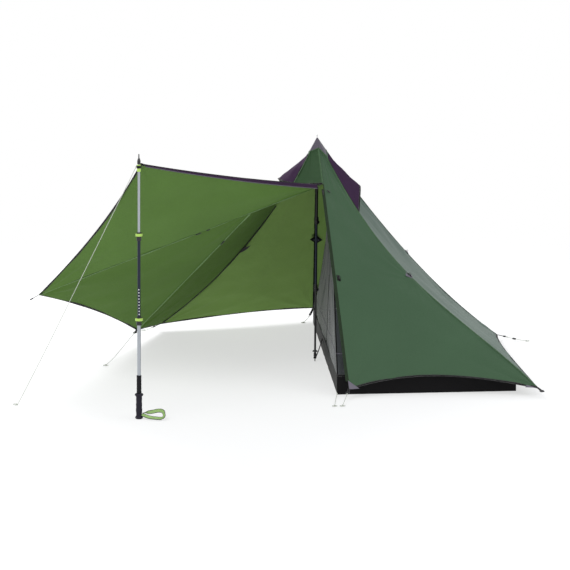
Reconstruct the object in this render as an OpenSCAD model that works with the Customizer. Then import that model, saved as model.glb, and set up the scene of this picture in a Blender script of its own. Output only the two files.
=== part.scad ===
// Teepee tent: a six-cornered fly on one centre pole, its front zipped open and
// stretched out as an awning over a second pole, and a mesh inner tent behind.
// Origin: on the ground under the peak. +X runs from the porch to the back,
// +Y from the open near side to the far side, +Z up. Millimetres.

/* [Fly] */
// Height of the fabric peak above the ground
peak_h = 1293; // [1100:1:1600]
// Height of the hem above the ground at the pegged corners
hem_h = 45; // [20:1:90]
// Thickness of the fly solids
fly_t = 1.5; // [1:0.1:3]
// Gap left between two panels along a seam
seam_gap = 0.3; // [0.2:0.05:0.6]
// How far a hem curves up between its corners, as a share of the panel
hem_curve = 0.05; // [0:0.01:0.12]
// Near left corner, across
near_left_x = 95; // [60:1:140]
// Near left corner, along
near_left_y = -1070; // [-1300:1:-900]
// Near right corner, across
near_right_x = 1090; // [900:1:1300]
// Near right corner, along
near_right_y = -1080; // [-1300:1:-900]
// Far right corner, across
far_right_x = 1166; // [900:1:1350]
// Far right corner, along
far_right_y = 560; // [400:1:900]
// Far left corner, across
far_left_x = 75; // [50:1:130]
// Far left corner, along
far_left_y = 1340; // [1150:1:1600]
// Far porch corner, across
porch_far_x = -929; // [-1150:1:-800]
// Far porch corner, along
porch_far_y = 980; // [800:1:1200]

/* [Peak] */
// Height of the grey cap at the peak
cap_h = 70; // [50:1:110]
// Height of the pin that stands out of the peak
pin_h = 17; // [8:1:30]
// How far a vent hood stands off its panel at the brim
hood_out = 85; // [40:1:110]
// Height above the ground of the top of the door zips
door_top_h = 1045; // [900:1:1150]

/* [Awning] */
// Sag of the awning's free edge
ridge_sag = 14; // [0:1:40]
// Length of the webbing tab at each corner
tab_len = 38; // [20:1:60]
// Width of the corner webbing
tab_w = 15; // [10:1:25]

/* [Inner tent] */
// Height of the groundsheet's upstanding walls
tub_h = 100; // [60:1:160]
// Thickness of the groundsheet
tub_t = 1.6; // [1:0.1:3]
// Thickness of the mesh wall solids
mesh_t = 1.2; // [0.8:0.1:2]
// Height of the inner tent's own peak
inner_h = 1000; // [850:1:1050]

/* [Poles] */
// Outside diameter of the upper tube, which carries the grip
upper_d = 18; // [16:0.5:20]
// Outside diameter of the middle tube
mid_d = 15; // [13:0.5:15]
// Outside diameter of the tip tube
tip_d = 12; // [9:0.5:12]
// Wall of all three tubes
tube_wall = 0.9; // [0.7:0.1:1]
// Running gap between a tube lock and what passes through it
lock_gap = 0.3; // [0.2:0.05:0.5]
// Length that each tube stays inside the next one
overlap = 80; // [60:1:100]
// Length of the porch pole, as set
porch_len = 1315; // [1220:1:1400]
// Length of the centre pole, as set
centre_len = 1266.6; // [1200:0.2:1275]
// Porch pole: distance from its head to the end of the upper tube
porch_upper_at = 486; // [400:1:520]
// Porch pole: distance from its head to the end of the middle tube
porch_lower_at = 905; // [850:1:960]
// Centre pole: distance from its head to the end of the upper tube
centre_upper_at = 441; // [400:1:500]
// Centre pole: distance from its head to the end of the middle tube
centre_lower_at = 832; // [780:1:880]
// Largest radius of the grip's round head
knob_r = 19; // [16:0.5:22]
// Length of the grip with its flange
grip_len = 128; // [110:1:150]
// Length of the foam sleeve below the grip
foam_len = 92; // [60:1:130]

/* [Hidden] */
$fn = 48;

green = "#4d6d3a";
dark_green = "#47614a";
purple = "#3c2b42";
black = "#232026";
lime = "#a8cc5c";
silver = "#a8adb3";
cord_grey = "#b9bfb2";

// Corners of the fly at its hem
near_left = [near_left_x, near_left_y, hem_h];
near_right = [near_right_x, near_right_y, hem_h];
far_right = [far_right_x, far_right_y, hem_h - 15];
far_left = [far_left_x, far_left_y, hem_h + 35];
porch_far = [porch_far_x, porch_far_y, hem_h];
// Where the near porch corner would stand with the door closed
porch_near = [-950, -900, hem_h];

// A hip is [corner, sag, skew]: how it hangs between the peak and the corner
hip_nl = [near_left, 0, 0];
hip_nr = [near_right, 0.55, 0.39];
hip_fr = [far_right, 0.32, 0];
hip_fl = [far_left, 0, 0];
hip_pf = [porch_far, 0.42, 0.1];
hip_pn = [porch_near, 0.4, 0];

// The awning's stretched corners
awning_a = [-1556, -556, 480];
awning_b = [-1066, 510, 90];
awning_p = [-963, -1480, 1264];

cap_from = cap_h / peak_h / 1.35;
door_t = (peak_h - door_top_h) / (peak_h - hem_h);
door_t_front = 0.155;
strip_t = 0.235;
inset = seam_gap / 2;

function lerp(a, b, t) = a + (b - a) * t;
function unit(v) = v / norm(v);
function fall(k, m, t) = (1 + k) * t - k * t * t + m * t * (1 - t) * (1 - 2 * t);
function hip(h, t) = [h[0].x * t, h[0].y * t, peak_h - (peak_h - h[0].z) * fall(h[1], h[2], t)];
// A point between two edges, kept clear of both by the seam's inset
function between(a, b, s) = let (w = norm(b - a)) lerp(a, b, (inset + s * (w - 2 * inset)) / w);
function bow(s) = 4 * s * (1 - s);

// Rows of points for a panel between two hips, from the cap to its hem
function panel_rows(ha, hb, t0, t1, curve, n, m) =
    [for (i = [0:n]) [for (j = [0:m])
        let (s = j / m, t = t0 + (t1 * (1 - curve * bow(s)) - t0) * i / n)
        between(hip(ha, t), hip(hb, t), s)]];

// A closed skin: a grid of points and the same grid moved by out
module skin(rows, out) {
    n = len(rows);
    m = len(rows[0]);
    k = n * m;
    front = [for (r = rows) for (p = r) p];
    points = concat(front, [for (p = front) p + out]);
    quads = [for (i = [0:n - 2]) for (j = [0:m - 2])
        [i * m + j, (i + 1) * m + j, (i + 1) * m + j + 1, i * m + j + 1]];
    edge = concat([for (i = [0:n - 1]) i * m], [for (j = [1:m - 1]) (n - 1) * m + j],
        [for (i = [n - 2:-1:0]) i * m + m - 1], [for (j = [m - 2:-1:1]) j]);
    e = len(edge);
    faces = concat(
        [for (q = quads) each [[q[0], q[1], q[2]], [q[0], q[2], q[3]]]],
        [for (q = quads) each [[q[0] + k, q[2] + k, q[1] + k], [q[0] + k, q[3] + k, q[2] + k]]],
        [for (i = [0:e - 1]) let (p = edge[i], q = edge[(i + 1) % e]) [q, p, p + k, q + k]]);
    mid = floor(n / 2);
    u = rows[mid][0] - rows[mid - 1][0];
    v = rows[mid][m - 1] - rows[mid][0];
    good = cross(u, v) * out > 0;
    polyhedron(points, [for (f = faces) good ? f : [for (i = [len(f) - 1:-1:0]) f[i]]]);
}

// A tube swept along route points
module tube(route, d, sides) {
    n = len(route);
    rings = [for (i = [0:n - 1])
        let (dir = unit(route[min(i + 1, n - 1)] - route[max(i - 1, 0)]),
            side = unit(cross(dir, abs(dir.z) > 0.9 ? [1, 0, 0] : [0, 0, 1])),
            up = cross(side, dir))
        [for (j = [0:sides - 1]) route[i] + d / 2 * (cos(j * 360 / sides) * side + sin(j * 360 / sides) * up)]];
    points = [for (r = rings) for (p = r) p];
    polyhedron(points, concat(
        [[for (j = [0:sides - 1]) j]],
        [for (i = [0:n - 2]) for (j = [0:sides - 1]) let (q = (j + 1) % sides)
            each [[i * sides + j, (i + 1) * sides + j, (i + 1) * sides + q],
                [i * sides + j, (i + 1) * sides + q, i * sides + q]]],
        [[for (j = [sides - 1:-1:0]) (n - 1) * sides + j]]));
}

// Turns a piece built along +Z so that it runs from a towards b
module along(a, b) {
    d = b - a;
    translate(a) rotate([0, acos(d.z / norm(d)), atan2(d.y, d.x)]) children();
}

// Puts a piece at a point with its Z along up and its X towards face
module placed(at, up, face) {
    z = unit(up);
    x = unit(face - z * (face * z));
    y = cross(z, x);
    multmatrix([[x.x, y.x, z.x, at.x], [x.y, y.y, z.y, at.y], [x.z, y.z, z.z, at.z], [0, 0, 0, 1]])
        children();
}

// ---- Fly panels ----
near_out = unit([0.05, -0.75, 0.65]);

module near_panel() color(dark_green)
    skin(panel_rows(hip_nl, hip_nr, cap_from, 1, hem_curve, 12, 10), fly_t * near_out);

module back_panel() color(dark_green)
    skin(panel_rows(hip_nr, hip_fr, cap_from, 1, hem_curve, 12, 8), fly_t * unit([0.7, 0.02, 0.7]));

module far_panel() color(dark_green)
    skin(panel_rows(hip_fr, hip_fl, cap_from, 1, hem_curve, 12, 8), fly_t * unit([0.5, 0.7, 0.6]));

awning_out = fly_t * unit([-0.45, 0.45, 0.77]);

module far_front_panel() color(green)
    skin(panel_rows(hip_fl, hip_pf, cap_from, 1, hem_curve * 0.4, 12, 8), awning_out);

// The front above the door zips, over the two hips that it spans
module front_top_panel() {
    rows = [for (i = [0:5]) [for (j = [0:8])
        let (s = j / 8,
            ta = lerp(cap_from, door_t - 0.001, i / 5),
            tb = lerp(cap_from, door_t_front, i / 5),
            tc = lerp(cap_from, strip_t - 0.001, i / 5),
            a = hip(hip_nl, ta), b = hip(hip_pn, tb), c = hip(hip_pf, tc))
        j == 0 ? between(a, b, 0) : j == 8 ? between(b, c, 1) : s <= 0.5 ? lerp(a, b, 2 * s) : lerp(b, c, 2 * s - 1)]];
    color(dark_green) skin(rows, fly_t * unit([-0.75, -0.25, 0.6]));
}

door_j = hip(hip_nl, door_t) + [-1.2, -1.5, -fly_t];
strip_k = hip(hip_pf, strip_t);
strip_s = lerp(door_j, awning_a, 0.26);

function sagged(a, b, sag, t) = lerp(a, b, t) - [0, 0, sag * bow(t)];

module awning_near() {
    rows = [for (i = [0:10]) [for (j = [0:8])
        let (s = j / 8, t = 0.02 + (1 - 0.035 * bow(s) - 0.02) * i / 10)
        between(sagged(door_j, awning_p, ridge_sag, t), lerp(door_j, awning_a, t), s)]];
    color(green) skin(rows, awning_out);
}

module awning_mid() {
    rows = [for (i = [0:8]) [for (j = [0:8])
        let (s = j / 8, t = 0.02 + (1 - 0.03 * bow(s) - 0.02) * i / 8)
        between(lerp(strip_s, awning_a, t), lerp(strip_s, awning_b, t), s)]];
    color(green) skin(rows, awning_out);
}

// The strip between the fold and the far porch zip, with the root of the awning
module awning_strip() {
    root = 3;
    low = 8;
    function fold_at(i) = i <= root ? lerp(door_j, strip_s, 0.08 + 0.92 * i / root)
        : lerp(strip_s, awning_b, (i - root) / low);
    function zip_at(i) = i <= root ? lerp(door_j, strip_k, 0.08 + 0.92 * i / root)
        : hip(hip_pf, lerp(strip_t, 1, (i - root) / low));
    rows = [for (i = [0:root + low]) [for (j = [0:5])
        between(fold_at(i), zip_at(i), j / 5) - [0, 0, j == 5 ? seam_gap : 0]]];
    color(green) skin(rows, awning_out);
}

// ---- Peak ----
hips = [hip_nl, hip_nr, hip_fr, hip_fl, hip_pf, hip_pn];

// A six-sided cone of fabric over the panels' tops
module peak_cap() {
    top = [0, 0, peak_h + 4];
    lift = seam_gap + fly_t;
    function ring(t, grow) = [for (h = hips) let (p = hip(h, t), r = norm([p.x, p.y]))
        [p.x * (r + grow) / r, p.y * (r + grow) / r, p.z + grow * 0.35]];
    outer = ring(cap_from * 1.15, lift + fly_t + 0.8);
    inner = ring(cap_from * 1.15, lift + 0.8);
    color("#6a6570") polyhedron(concat([top, top - [0, 0, 2 * fly_t]], outer, inner), concat(
        [for (i = [0:5]) let (j = (i + 1) % 6) [0, 2 + j, 2 + i]],
        [for (i = [0:5]) let (j = (i + 1) % 6) [1, 8 + i, 8 + j]],
        [for (i = [0:5]) let (j = (i + 1) % 6) each [[2 + i, 2 + j, 8 + j], [2 + i, 8 + j, 8 + i]]]));
}

module peak_pin() color(silver) translate([0, 0, peak_h + 3.6]) {
    cylinder(h = pin_h - 4, r = 2);
    translate([0, 0, pin_h - 4]) sphere(r = 3);
}

// A hood over a panel: it leaves the panel along both hips and stands off at its brim
module vent_hood(ha, hb, ta, tb, tm, push, n, m) {
    rows = [for (i = [0:n]) [for (j = [0:m])
        let (s = j / m, u = i / n,
            ends = lerp(ta, tb, s), t = lerp(cap_from * 1.32, lerp(ends, tm, bow(s)), u),
            base = lerp(hip(ha, t), hip(hb, t), 0.02 + 0.96 * s))
        base + 2.6 * unit(push) + push * 0.97 * bow(s) * pow(u, 1.2)]];
    skin(rows, fly_t * unit(push));
}

module back_vent_hood() color(purple)
    vent_hood(hip_nr, hip_fr, 0.202, 0.2, 0.165, hood_out * 0.76 * unit([0.93, 0.05, 0.37]), 7, 8);

module front_vent_hood() color(purple)
    vent_hood(hip_pn, hip_pf, 0.15, 0.19, 0.16, hood_out * unit([-0.88, -0.02, 0.47]), 7, 8);

// ---- Trim that is sewn to the fly ----
// A corner's reinforcement lies on the panel, its webbing runs on to the peg
module patch(corner, up_a, up_b, size, out) {
    a = corner + size * unit(up_a - corner);
    b = corner + size * unit(up_b - corner);
    o = unit(out);
    rows = [[a + o * (fly_t + 0.2), b + o * (fly_t + 0.2)],
        [lerp(corner, a, 0.12) + o * (fly_t + 0.2), lerp(corner, b, 0.12) + o * (fly_t + 0.2)]];
    skin(rows, 0.8 * o);
}

module corner_patches() color("#8d8790") {
    patch(lerp(near_left, hip(hip_nl, 0.5), 0.01), hip(hip_nl, 0.5),
        near_left + [900, -4, 60], 62, [0.05, -0.75, 0.65]);
    patch(near_right + [-4, 2, 4], hip(hip_nr, 0.8), near_right + [-900, 4, 40], 62, [0.05, -0.75, 0.65]);
}

// A flat strap from a to b, w wide, lying across the given side vector
module strap(a, b, w, t, across) {
    s = unit(across) * w / 2;
    skin([[a - s, a + s], [b - s, b + s]], t * unit(cross(b - a, across)));
}

module corner_tab(corner, aim, across)
    strap(corner + 0.5 * unit(aim), corner + (0.5 + tab_len) * unit(aim), tab_w, 1.4, across);

aim_near_left = [-50, -190, -32];
aim_near_right = [60, -190, -32];
aim_far_right = [150, -60, -22];
aim_far_left = [-40, -20, -70];
aim_porch_far = [-105, 2, -40];
aim_awning_b = [-156, -656, -90];
aim_awning_a = [-300, 20, -160];

module corner_webbing() color(black) {
    corner_tab(near_left, aim_near_left, [1, -0.2, 0]);
    corner_tab(near_right, aim_near_right, [1, 0.2, 0]);
    corner_tab(far_right, aim_far_right, [0.3, 1, 0]);
    corner_tab(far_left, aim_far_left, [1, -0.5, 0]);
    corner_tab(porch_far, aim_porch_far, [0, 1, 0]);
    corner_tab(awning_b, aim_awning_b, [1, -0.2, 0]);
    corner_tab(awning_a, aim_awning_a, [0, 1, 0]);
    // The loop that holds the awning's corner on the porch pole's collar
    porch_pole() pipe(porch_len - tip_len - 34, porch_len - tip_len - 21, collar_d + 2 * lock_gap + 3, 1.5);
    strap(awning_p + [-0.5, -0.4, -0.9], awning_p + [-2, -1.4, -9], 12, 1.4, [0.2, -0.3, 1]);
}

// A ladder buckle at the free end of a corner's webbing
module buckle(corner, aim) along(corner + (tab_len + 1.4) * unit(aim), corner + (tab_len + 50) * unit(aim))
    difference() {
        translate([-3, -tab_w / 2 - 3, 0]) cube([6, tab_w + 6, 16]);
        translate([-4, -tab_w / 2, 3]) cube([8, tab_w, 4]);
        translate([-4, -tab_w / 2, 9.5]) cube([8, tab_w, 3.5]);
    }

module corner_buckles() color(black) {
    buckle(near_left, aim_near_left);
    buckle(near_right, aim_near_right);
    buckle(far_right, aim_far_right);
    buckle(far_left, aim_far_left);
    buckle(porch_far, aim_porch_far);
    buckle(awning_b, aim_awning_b);
    buckle(awning_a, aim_awning_a);
}

// Guy-out patch halfway down a hip: a diamond of cloth with a ring
module hip_patch(h, t, out, size) {
    d = unit(hip(h, t + 0.03) - hip(h, t - 0.03));
    o = unit(out - d * (out * d));
    p = hip(h, t) + o * (fly_t + 0.8);
    side = unit(cross(o, d)) * size * 0.5;
    skin([[p - d * size / 2, p - d * size / 2 + side * 0.02], [p - side, p + side],
        [p + d * size / 2 - side * 0.02, p + d * size / 2]], 0.9 * o);
    placed(p + o * 8.6, side, o) rotate_extrude() translate([6, 0]) circle(r = 1.3, $fn = 24);
}

module mid_hip_patches() color("#5d5866") {
    hip_patch(hip_nr, 0.44, [0.45, -0.3, 0.84], 62);
    hip_patch(hip_fr, 0.475, [0.75, 0.3, 0.6], 50);
    hip_patch(hip_fl, 0.53, [-0.2, 0.75, 0.62], 62);
}

// Webbing band along the awning's free edge, under its fabric
module ridge_band() {
    n = 10;
    drop = [0.06, -0.05, -1] * 22;
    rows = [for (i = [0:n]) let (p = sagged(door_j, awning_p, ridge_sag, 0.035 + 0.945 * i / n) + [0.3, -0.6, -0.4])
        [p, p + drop * (0.35 + 0.65 * (1 - i / n))]];
    color(purple) skin(rows, [0.9, -0.9, 0]);
}

// Toggles that hold a rolled door, on loops under the panels
function on_near(t, s, lift) = between(hip(hip_nl, t), hip(hip_nr, t), s) + near_out * (fly_t + lift);

module toggle(p, d, long = 22) placed(p, d, [0.1, 0.2, 1]) {
    translate([0, 0, -long / 2]) cylinder(h = long, r = 3);
    translate([0, 0, -3]) cylinder(h = 6, r = 4);
}

module toggles() color(black) {
    toggle(lerp(door_j, awning_a, 0.448) + [1.85, -2.2, -3.4], awning_a - door_j, 34);
    toggle(lerp(door_j, awning_a, 0.414) + [1.85, -2.2, -3.4], awning_a - door_j);
    toggle(lerp(strip_s, awning_b, 0.235) + [1.85, -2.2, -3.4], awning_b - strip_s, 38);
    toggle(on_near(0.576, 0.041, 4.8), [0, -1, -1]);
    toggle(on_near(0.215, 0.13, 5), hip(hip_nr, 0.215) - hip(hip_nl, 0.215));
}

// Zip along the near panel's free edge, from the door's top to its hem
zip_w = 12;
zip_a = hip(hip_nl, door_t + 0.02) - [0.3, 0, 0];
zip_b = hip(hip_nl, 0.97) - [0.3, 0, 0];

module door_zip_tape() color(black)
    skin([[zip_a, zip_a - [zip_w, 0, 0]], [zip_b, zip_b - [zip_w, 0, 0]]], near_out * 1.2);

module door_zip_slider() color(silver)
    placed(zip_a + 12 * unit(zip_b - zip_a) - [zip_w / 2, 0, 0] + near_out * 1.6, zip_b - zip_a, near_out) {
        translate([0, -4.5, 0]) cube([3.2, 9, 13]);
        translate([3.4, -3, 3]) cube([1.2, 6, 28]);
        translate([1, -1, 4]) cube([3.6, 2, 4]);
    }

// ---- Inner tent ----
floor_nl = [41, -985, 0];
floor_nr = [1000, -945, 0];
floor_fr = [1030, 430, 0];
floor_fl = [65, 1230, 0];
inner_peak = [85, -20, inner_h];
// Where the foot strap is sewn to the groundsheet's wall
strap_y = 250;
floor_corners = [floor_nl, floor_nr, floor_fr, floor_fl];

function wall_hip(c, k, t) = [lerp(inner_peak.x, c.x, t), lerp(inner_peak.y, c.y, t),
    inner_h - (inner_h - tub_h - 0.5) * fall(k, 0, t)];

module tub_floor() color(black)
    linear_extrude(tub_t) polygon([for (c = floor_corners) [c.x, c.y]]);

module tub_walls() color(black) for (i = [0:3]) {
    a = floor_corners[i];
    b = floor_corners[(i + 1) % 4];
    d = unit(b - a);
    out = [d.y, -d.x, 0];
    foot = [a + d * inset + out * inset, b - d * inset + out * inset];
    skin([foot, [for (p = foot) p + [0, 0, tub_h]]], tub_t * out);
}

module mesh_wall(a, b, ka, kb) {
    n = 10;
    m = 6;
    d = unit(b - a);
    rows = [for (i = [0:n]) [for (j = [0:m])
        let (t = lerp(0.012, 1, i / n))
        between(wall_hip(a, ka, t), wall_hip(b, kb, t), j / m)]];
    skin(rows, mesh_t * [d.y, -d.x, 0]);
}

module mesh_walls() color("#4b4e54", 0.6) {
    mesh_wall(floor_nl, floor_nr, 0.4, 0.6);
    mesh_wall(floor_nr, floor_fr, 0.6, 0.6);
    mesh_wall(floor_fr, floor_fl, 0.6, 0.4);
    mesh_wall(floor_fl, floor_nl, 0.4, 0.4);
}

// Door zip of the inner tent, up its front wall
function front_wall(s, t) = between(wall_hip(floor_nl, 0.4, t), wall_hip(floor_fl, 0.4, t), s);
inner_zip_t = [1, 0.45];

module inner_zip_tape() {
    rows = [for (i = [0:8]) let (t = lerp(inner_zip_t[0], inner_zip_t[1], i / 8), p = front_wall(0.4, t) - [mesh_t + 0.5, 0, 0])
        [p + [0, -6, 0], p + [0, 6, 0]]];
    color(black) skin(rows, [-1.1, 0, 0]);
}

inner_zip_low = front_wall(0.4, 0.97) - [mesh_t + 2.4, 0, 0];
inner_zip_high = front_wall(0.4, 0.47) - [mesh_t + 2.4, 0, 0];

module inner_zip_slider() color(silver) placed(inner_zip_low, inner_zip_high - inner_zip_low, [-1, 0, 0]) {
    translate([0, -4, 0]) cube([3, 8, 12]);
    translate([3.2, -2.5, -14]) cube([1.2, 5, 22]);
    translate([1, -1, 3]) cube([3.4, 2, 4]);
}

// Strap that ties the pole's foot to the groundsheet
module foot_strap() color(black) {
    wall = lerp(floor_nl, floor_fl, (strap_y - floor_nl.y) / (floor_fl.y - floor_nl.y));
    centre_pole() pipe(centre_len - 27.5, centre_len - 18, 17, 1.5);
    strap([-9.2, -72.4, 24], [wall.x - inset - tub_t - 1.5, strap_y, 72], 12, 1.2, [0, 0.3, 1]);
}

// ---- Poles ----
// A pole is built along +Z from the head of its grip to its tip.
head_wall = 30;
collar_d = tip_d + 2 * lock_gap + 6;
tip_len = 36;

module pipe(z0, z1, d, wall) translate([0, 0, z0]) difference() {
    cylinder(h = z1 - z0, d = d);
    translate([0, 0, -1]) cylinder(h = z1 - z0 + 2, d = d - 2 * wall);
}

module upper_tube(end) color(silver) pipe(head_wall, end, upper_d, tube_wall);
module mid_tube(start, end) color("#262b38") pipe(start - overlap, end, mid_d, tube_wall);
module tip_tube(start, len) color(silver) pipe(start - overlap, len - tip_len, tip_d, tube_wall);

// The head, the moulded grip and its flange, bored for the upper tube
module grip() {
    r = upper_d / 2;
    color("#25222f") difference() {
        rotate_extrude() polygon([[0, 0.5], [knob_r - 5, 0.5], [knob_r - 1.5, 2.5], [knob_r, 6], [knob_r, 9],
            [knob_r - 2, 13], [r + 5, 18], [r + 5.6, 30], [r + 7, 44], [r + 5.4, 58], [r + 6.4, 72],
            [r + 5, 86], [r + 6, 100], [r + 5.4, grip_len - 16], [r + 8, grip_len - 12],
            [r + 12, grip_len - 8], [r + 12, grip_len - 3], [r + 9, grip_len], [0, grip_len]]);
        translate([0, 0, head_wall - 0.3]) cylinder(h = grip_len, d = upper_d + 2 * lock_gap);
    }
}

module foam_sleeve() color("#1d1c22") difference() {
    translate([0, 0, grip_len + 0.3]) union() {
        cylinder(h = foam_len, r = upper_d / 2 + 2.6);
        for (i = [0:4]) translate([0, 0, 8 + i * (foam_len - 16) / 4 - 2]) cylinder(h = 4, r = upper_d / 2 + 3.1);
    }
    cylinder(h = grip_len + foam_len + 10, d = upper_d + 2 * lock_gap);
}

lock_low = 14;
lock_high = 27;
lever_low = 8;
lever_h = 13;
pin_turn = 200;

// Collar of a lever lock: it sits on the outer tube's end and grips the inner tube
module tube_lock(z, outer_d, inner_d) {
    r = outer_d / 2 + 4;
    color(black) translate([0, 0, z]) {
        difference() {
            union() {
                translate([0, 0, -lock_low]) cylinder(h = lock_low + lock_high, r = r);
                for (s = [lever_low - 3.1, lever_low + lever_h + 0.3]) rotate([0, 0, pin_turn]) {
                    translate([r + 3.5, 0, s]) cylinder(h = 2.8, r = 3.6);
                    translate([r - 1, -3.2, s]) cube([4.5, 6.4, 2.8]);
                }
            }
            translate([0, 0, -lock_low - 1]) cylinder(h = lock_low + 1.3, d = outer_d + 2 * lock_gap);
            cylinder(h = lock_high + 1, d = inner_d + 2 * lock_gap);
        }
        rotate([0, 0, pin_turn]) translate([r + 3.5, 0, lever_low - 2]) cylinder(h = lever_h + 4, r = 1.5);
    }
}

// The lever: a half ring that turns on the lock's pin
module lock_lever(z, outer_d) {
    r = outer_d / 2 + 4;
    color(lime) translate([0, 0, z + lever_low]) difference() {
        union() {
            rotate([0, 0, 12]) rotate_extrude(angle = 174) translate([r + 0.7, 0]) square([5, lever_h]);
            rotate([0, 0, pin_turn]) translate([r + 3.5, 0, 0]) cylinder(h = lever_h, r = 3.4);
            rotate([0, 0, 184]) translate([r + 0.9, 0, 0]) cube([4.6, 4.5, lever_h]);
        }
        rotate([0, 0, pin_turn]) translate([r + 3.5, 0, -1]) cylinder(h = lever_h + 2, r = 1.5 + lock_gap);
    }
}

// Ferrule and hard tip, bored for the tip tube
module pole_tip(len) color(black) difference() {
    rotate_extrude() polygon([[0, len - tip_len - 14], [8.2, len - tip_len - 14], [8.2, len - tip_len + 4],
        [6.6, len - tip_len + 8], [5.2, len - 22], [3, len - 20], [2.6, len - 2], [1.6, len], [0, len]]);
    translate([0, 0, len - tip_len - 20]) cylinder(h = 20.3, d = tip_d + 2 * lock_gap);
}

porch_foot = [-989, -1487, -0.5];
porch_aim = [-973, -1487, 1315];
centre_foot = [-15, -80, 1.2];
centre_aim = [0, 0, 1250];
centre_dir = unit(centre_aim - centre_foot);
centre_head = centre_foot + centre_dir * centre_len;

module porch_pole() along(porch_foot, porch_aim) rotate([0, 0, 180]) children();
// The centre pole stands on its tip, head up
module centre_pole() along(centre_head, centre_foot) children();

module porch_grip() porch_pole() grip();
module porch_foam_sleeve() porch_pole() foam_sleeve();
module porch_upper_tube() porch_pole() upper_tube(porch_upper_at);
module porch_upper_lock() porch_pole() tube_lock(porch_upper_at, upper_d, mid_d);
module porch_upper_lever() porch_pole() lock_lever(porch_upper_at, upper_d);
module porch_mid_tube() porch_pole() mid_tube(porch_upper_at, porch_lower_at);
module porch_lower_lock() porch_pole() tube_lock(porch_lower_at, mid_d, tip_d);
module porch_lower_lever() porch_pole() lock_lever(porch_lower_at, mid_d);
module porch_tip_tube() porch_pole() tip_tube(porch_lower_at, porch_len);
module porch_tip() porch_pole() pole_tip(porch_len);

// Collar that the awning's corner loops over
module porch_collar() porch_pole() color(lime)
    pipe(porch_len - tip_len - 50, porch_len - tip_len - 16, collar_d, 3);

module centre_grip() centre_pole() grip();
module centre_foam_sleeve() centre_pole() foam_sleeve();
module centre_upper_tube() centre_pole() upper_tube(centre_upper_at);
module centre_upper_lock() centre_pole() tube_lock(centre_upper_at, upper_d, mid_d);
module centre_upper_lever() centre_pole() lock_lever(centre_upper_at, upper_d);
module centre_mid_tube() centre_pole() mid_tube(centre_upper_at, centre_lower_at);
module centre_lower_lock() centre_pole() tube_lock(centre_lower_at, mid_d, tip_d);
module centre_lower_lever() centre_pole() lock_lever(centre_lower_at, mid_d);
module centre_tip_tube() centre_pole() tip_tube(centre_lower_at, centre_len);
module centre_tip() centre_pole() pole_tip(centre_len);

module centre_basket() centre_pole() color(black) translate([0, 0, centre_len - 62])
    rotate_extrude() polygon([[tip_d / 2 + lock_gap, -3], [12, -3], [15, 3], [15, 5], [tip_d / 2 + lock_gap, 5]]);

// Wrist strap: a flat loop that leaves the grip's head and lies on the ground
strap_route = [[-974, -1491, 22], [-957, -1500, 17], [-935, -1512, 12], [-905, -1522, 10],
    [-880, -1528, 10], [-866, -1522, 16], [-865, -1508, 30], [-874, -1498, 40],
    [-895, -1490, 40], [-925, -1488, 34], [-955, -1487, 30], [-972, -1486, 28]];

module porch_wrist_strap() {
    rows = [for (p = strap_route) [p + [0, 0, -9], p + [0, 0, 9]]];
    n = len(strap_route);
    side = [for (i = [0:n - 1]) let (d = strap_route[min(i + 1, n - 1)] - strap_route[max(i - 1, 0)])
        unit([-d.y, d.x, 0])];
    front = [for (i = [0:n - 1]) each [strap_route[i] - side[i] * 0.9 - [0, 0, 9],
        strap_route[i] - side[i] * 0.9 + [0, 0, 9], strap_route[i] + side[i] * 0.9 + [0, 0, 9],
        strap_route[i] + side[i] * 0.9 - [0, 0, 9]]];
    color(lime) polyhedron(front, concat([[0, 1, 2, 3]],
        [for (i = [0:n - 2]) for (j = [0:3]) let (q = (j + 1) % 4)
            each [[i * 4 + j, (i + 1) * 4 + j, (i + 1) * 4 + q], [i * 4 + j, (i + 1) * 4 + q, i * 4 + q]]],
        [[n * 4 - 1, n * 4 - 2, n * 4 - 3, n * 4 - 4]]));
}

// ---- Guylines ----
cord_d = 3;
cord_sides = 8;
pole_cord = [[-983, -1480, 1260], [-1143, -1399, 943], [-1303, -1318, 626], [-1463, -1236, 309], [-1622, -1155, 4.6]];
awning_cord = [[-1078.8, 456.2, 82.6], [-1115, 310, 60], [-1155, 140, 34], [-1190, -10, 14], [-1222, -140, 4.5]];
porch_far_cord = [[-981, 981, 25], [-1005, 982, 13], [-1030, 983, 4.5]];
near_left_cord = [[81, -1123, 36], [66, -1180, 21], [45, -1262, 4.4]];
groundsheet_cord = [[40, -987.2, 8], [26, -1080, 5], [4, -1262, 4.4]];
far_left_cord = [[48, 1326.6, 32.8], [34, 1300, 18], [2, 1220, 4.4]];
far_right_cord = [[1217.5, 539.4, 22.4], [1250, 524, 15], [1330, 486, 4.4]];

module guy(route) color(cord_grey) tube(route, cord_d, cord_sides);

module guy_porch_pole() guy(pole_cord);
module guy_awning() guy(awning_cord);
module guy_porch_far() guy(porch_far_cord);
module guy_near_left() guy(near_left_cord);
module guy_groundsheet() guy(groundsheet_cord);
module guy_far_left() guy(far_left_cord);
module guy_far_right() guy(far_right_cord);

// The peg loop at the ground end of each guyline
loop_r = 12;
module peg_loop(route) {
    e = route[len(route) - 1];
    d = e - route[len(route) - 2];
    flat = unit([d.x, d.y, 0]);
    translate([e.x, e.y, cord_d / 2 + 3.5] + flat * (loop_r + cord_d / 2 + 0.4))
        rotate_extrude() translate([loop_r, 0]) circle(d = cord_d, $fn = 24);
}

module guy_loops() color(cord_grey)
    for (r = [pole_cord, awning_cord, porch_far_cord, near_left_cord, groundsheet_cord, far_left_cord, far_right_cord])
        peg_loop(r);

// Line-lock that shortens the far right guyline
guy_lock_dir = unit(far_right_cord[2] - far_right_cord[1]);

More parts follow.
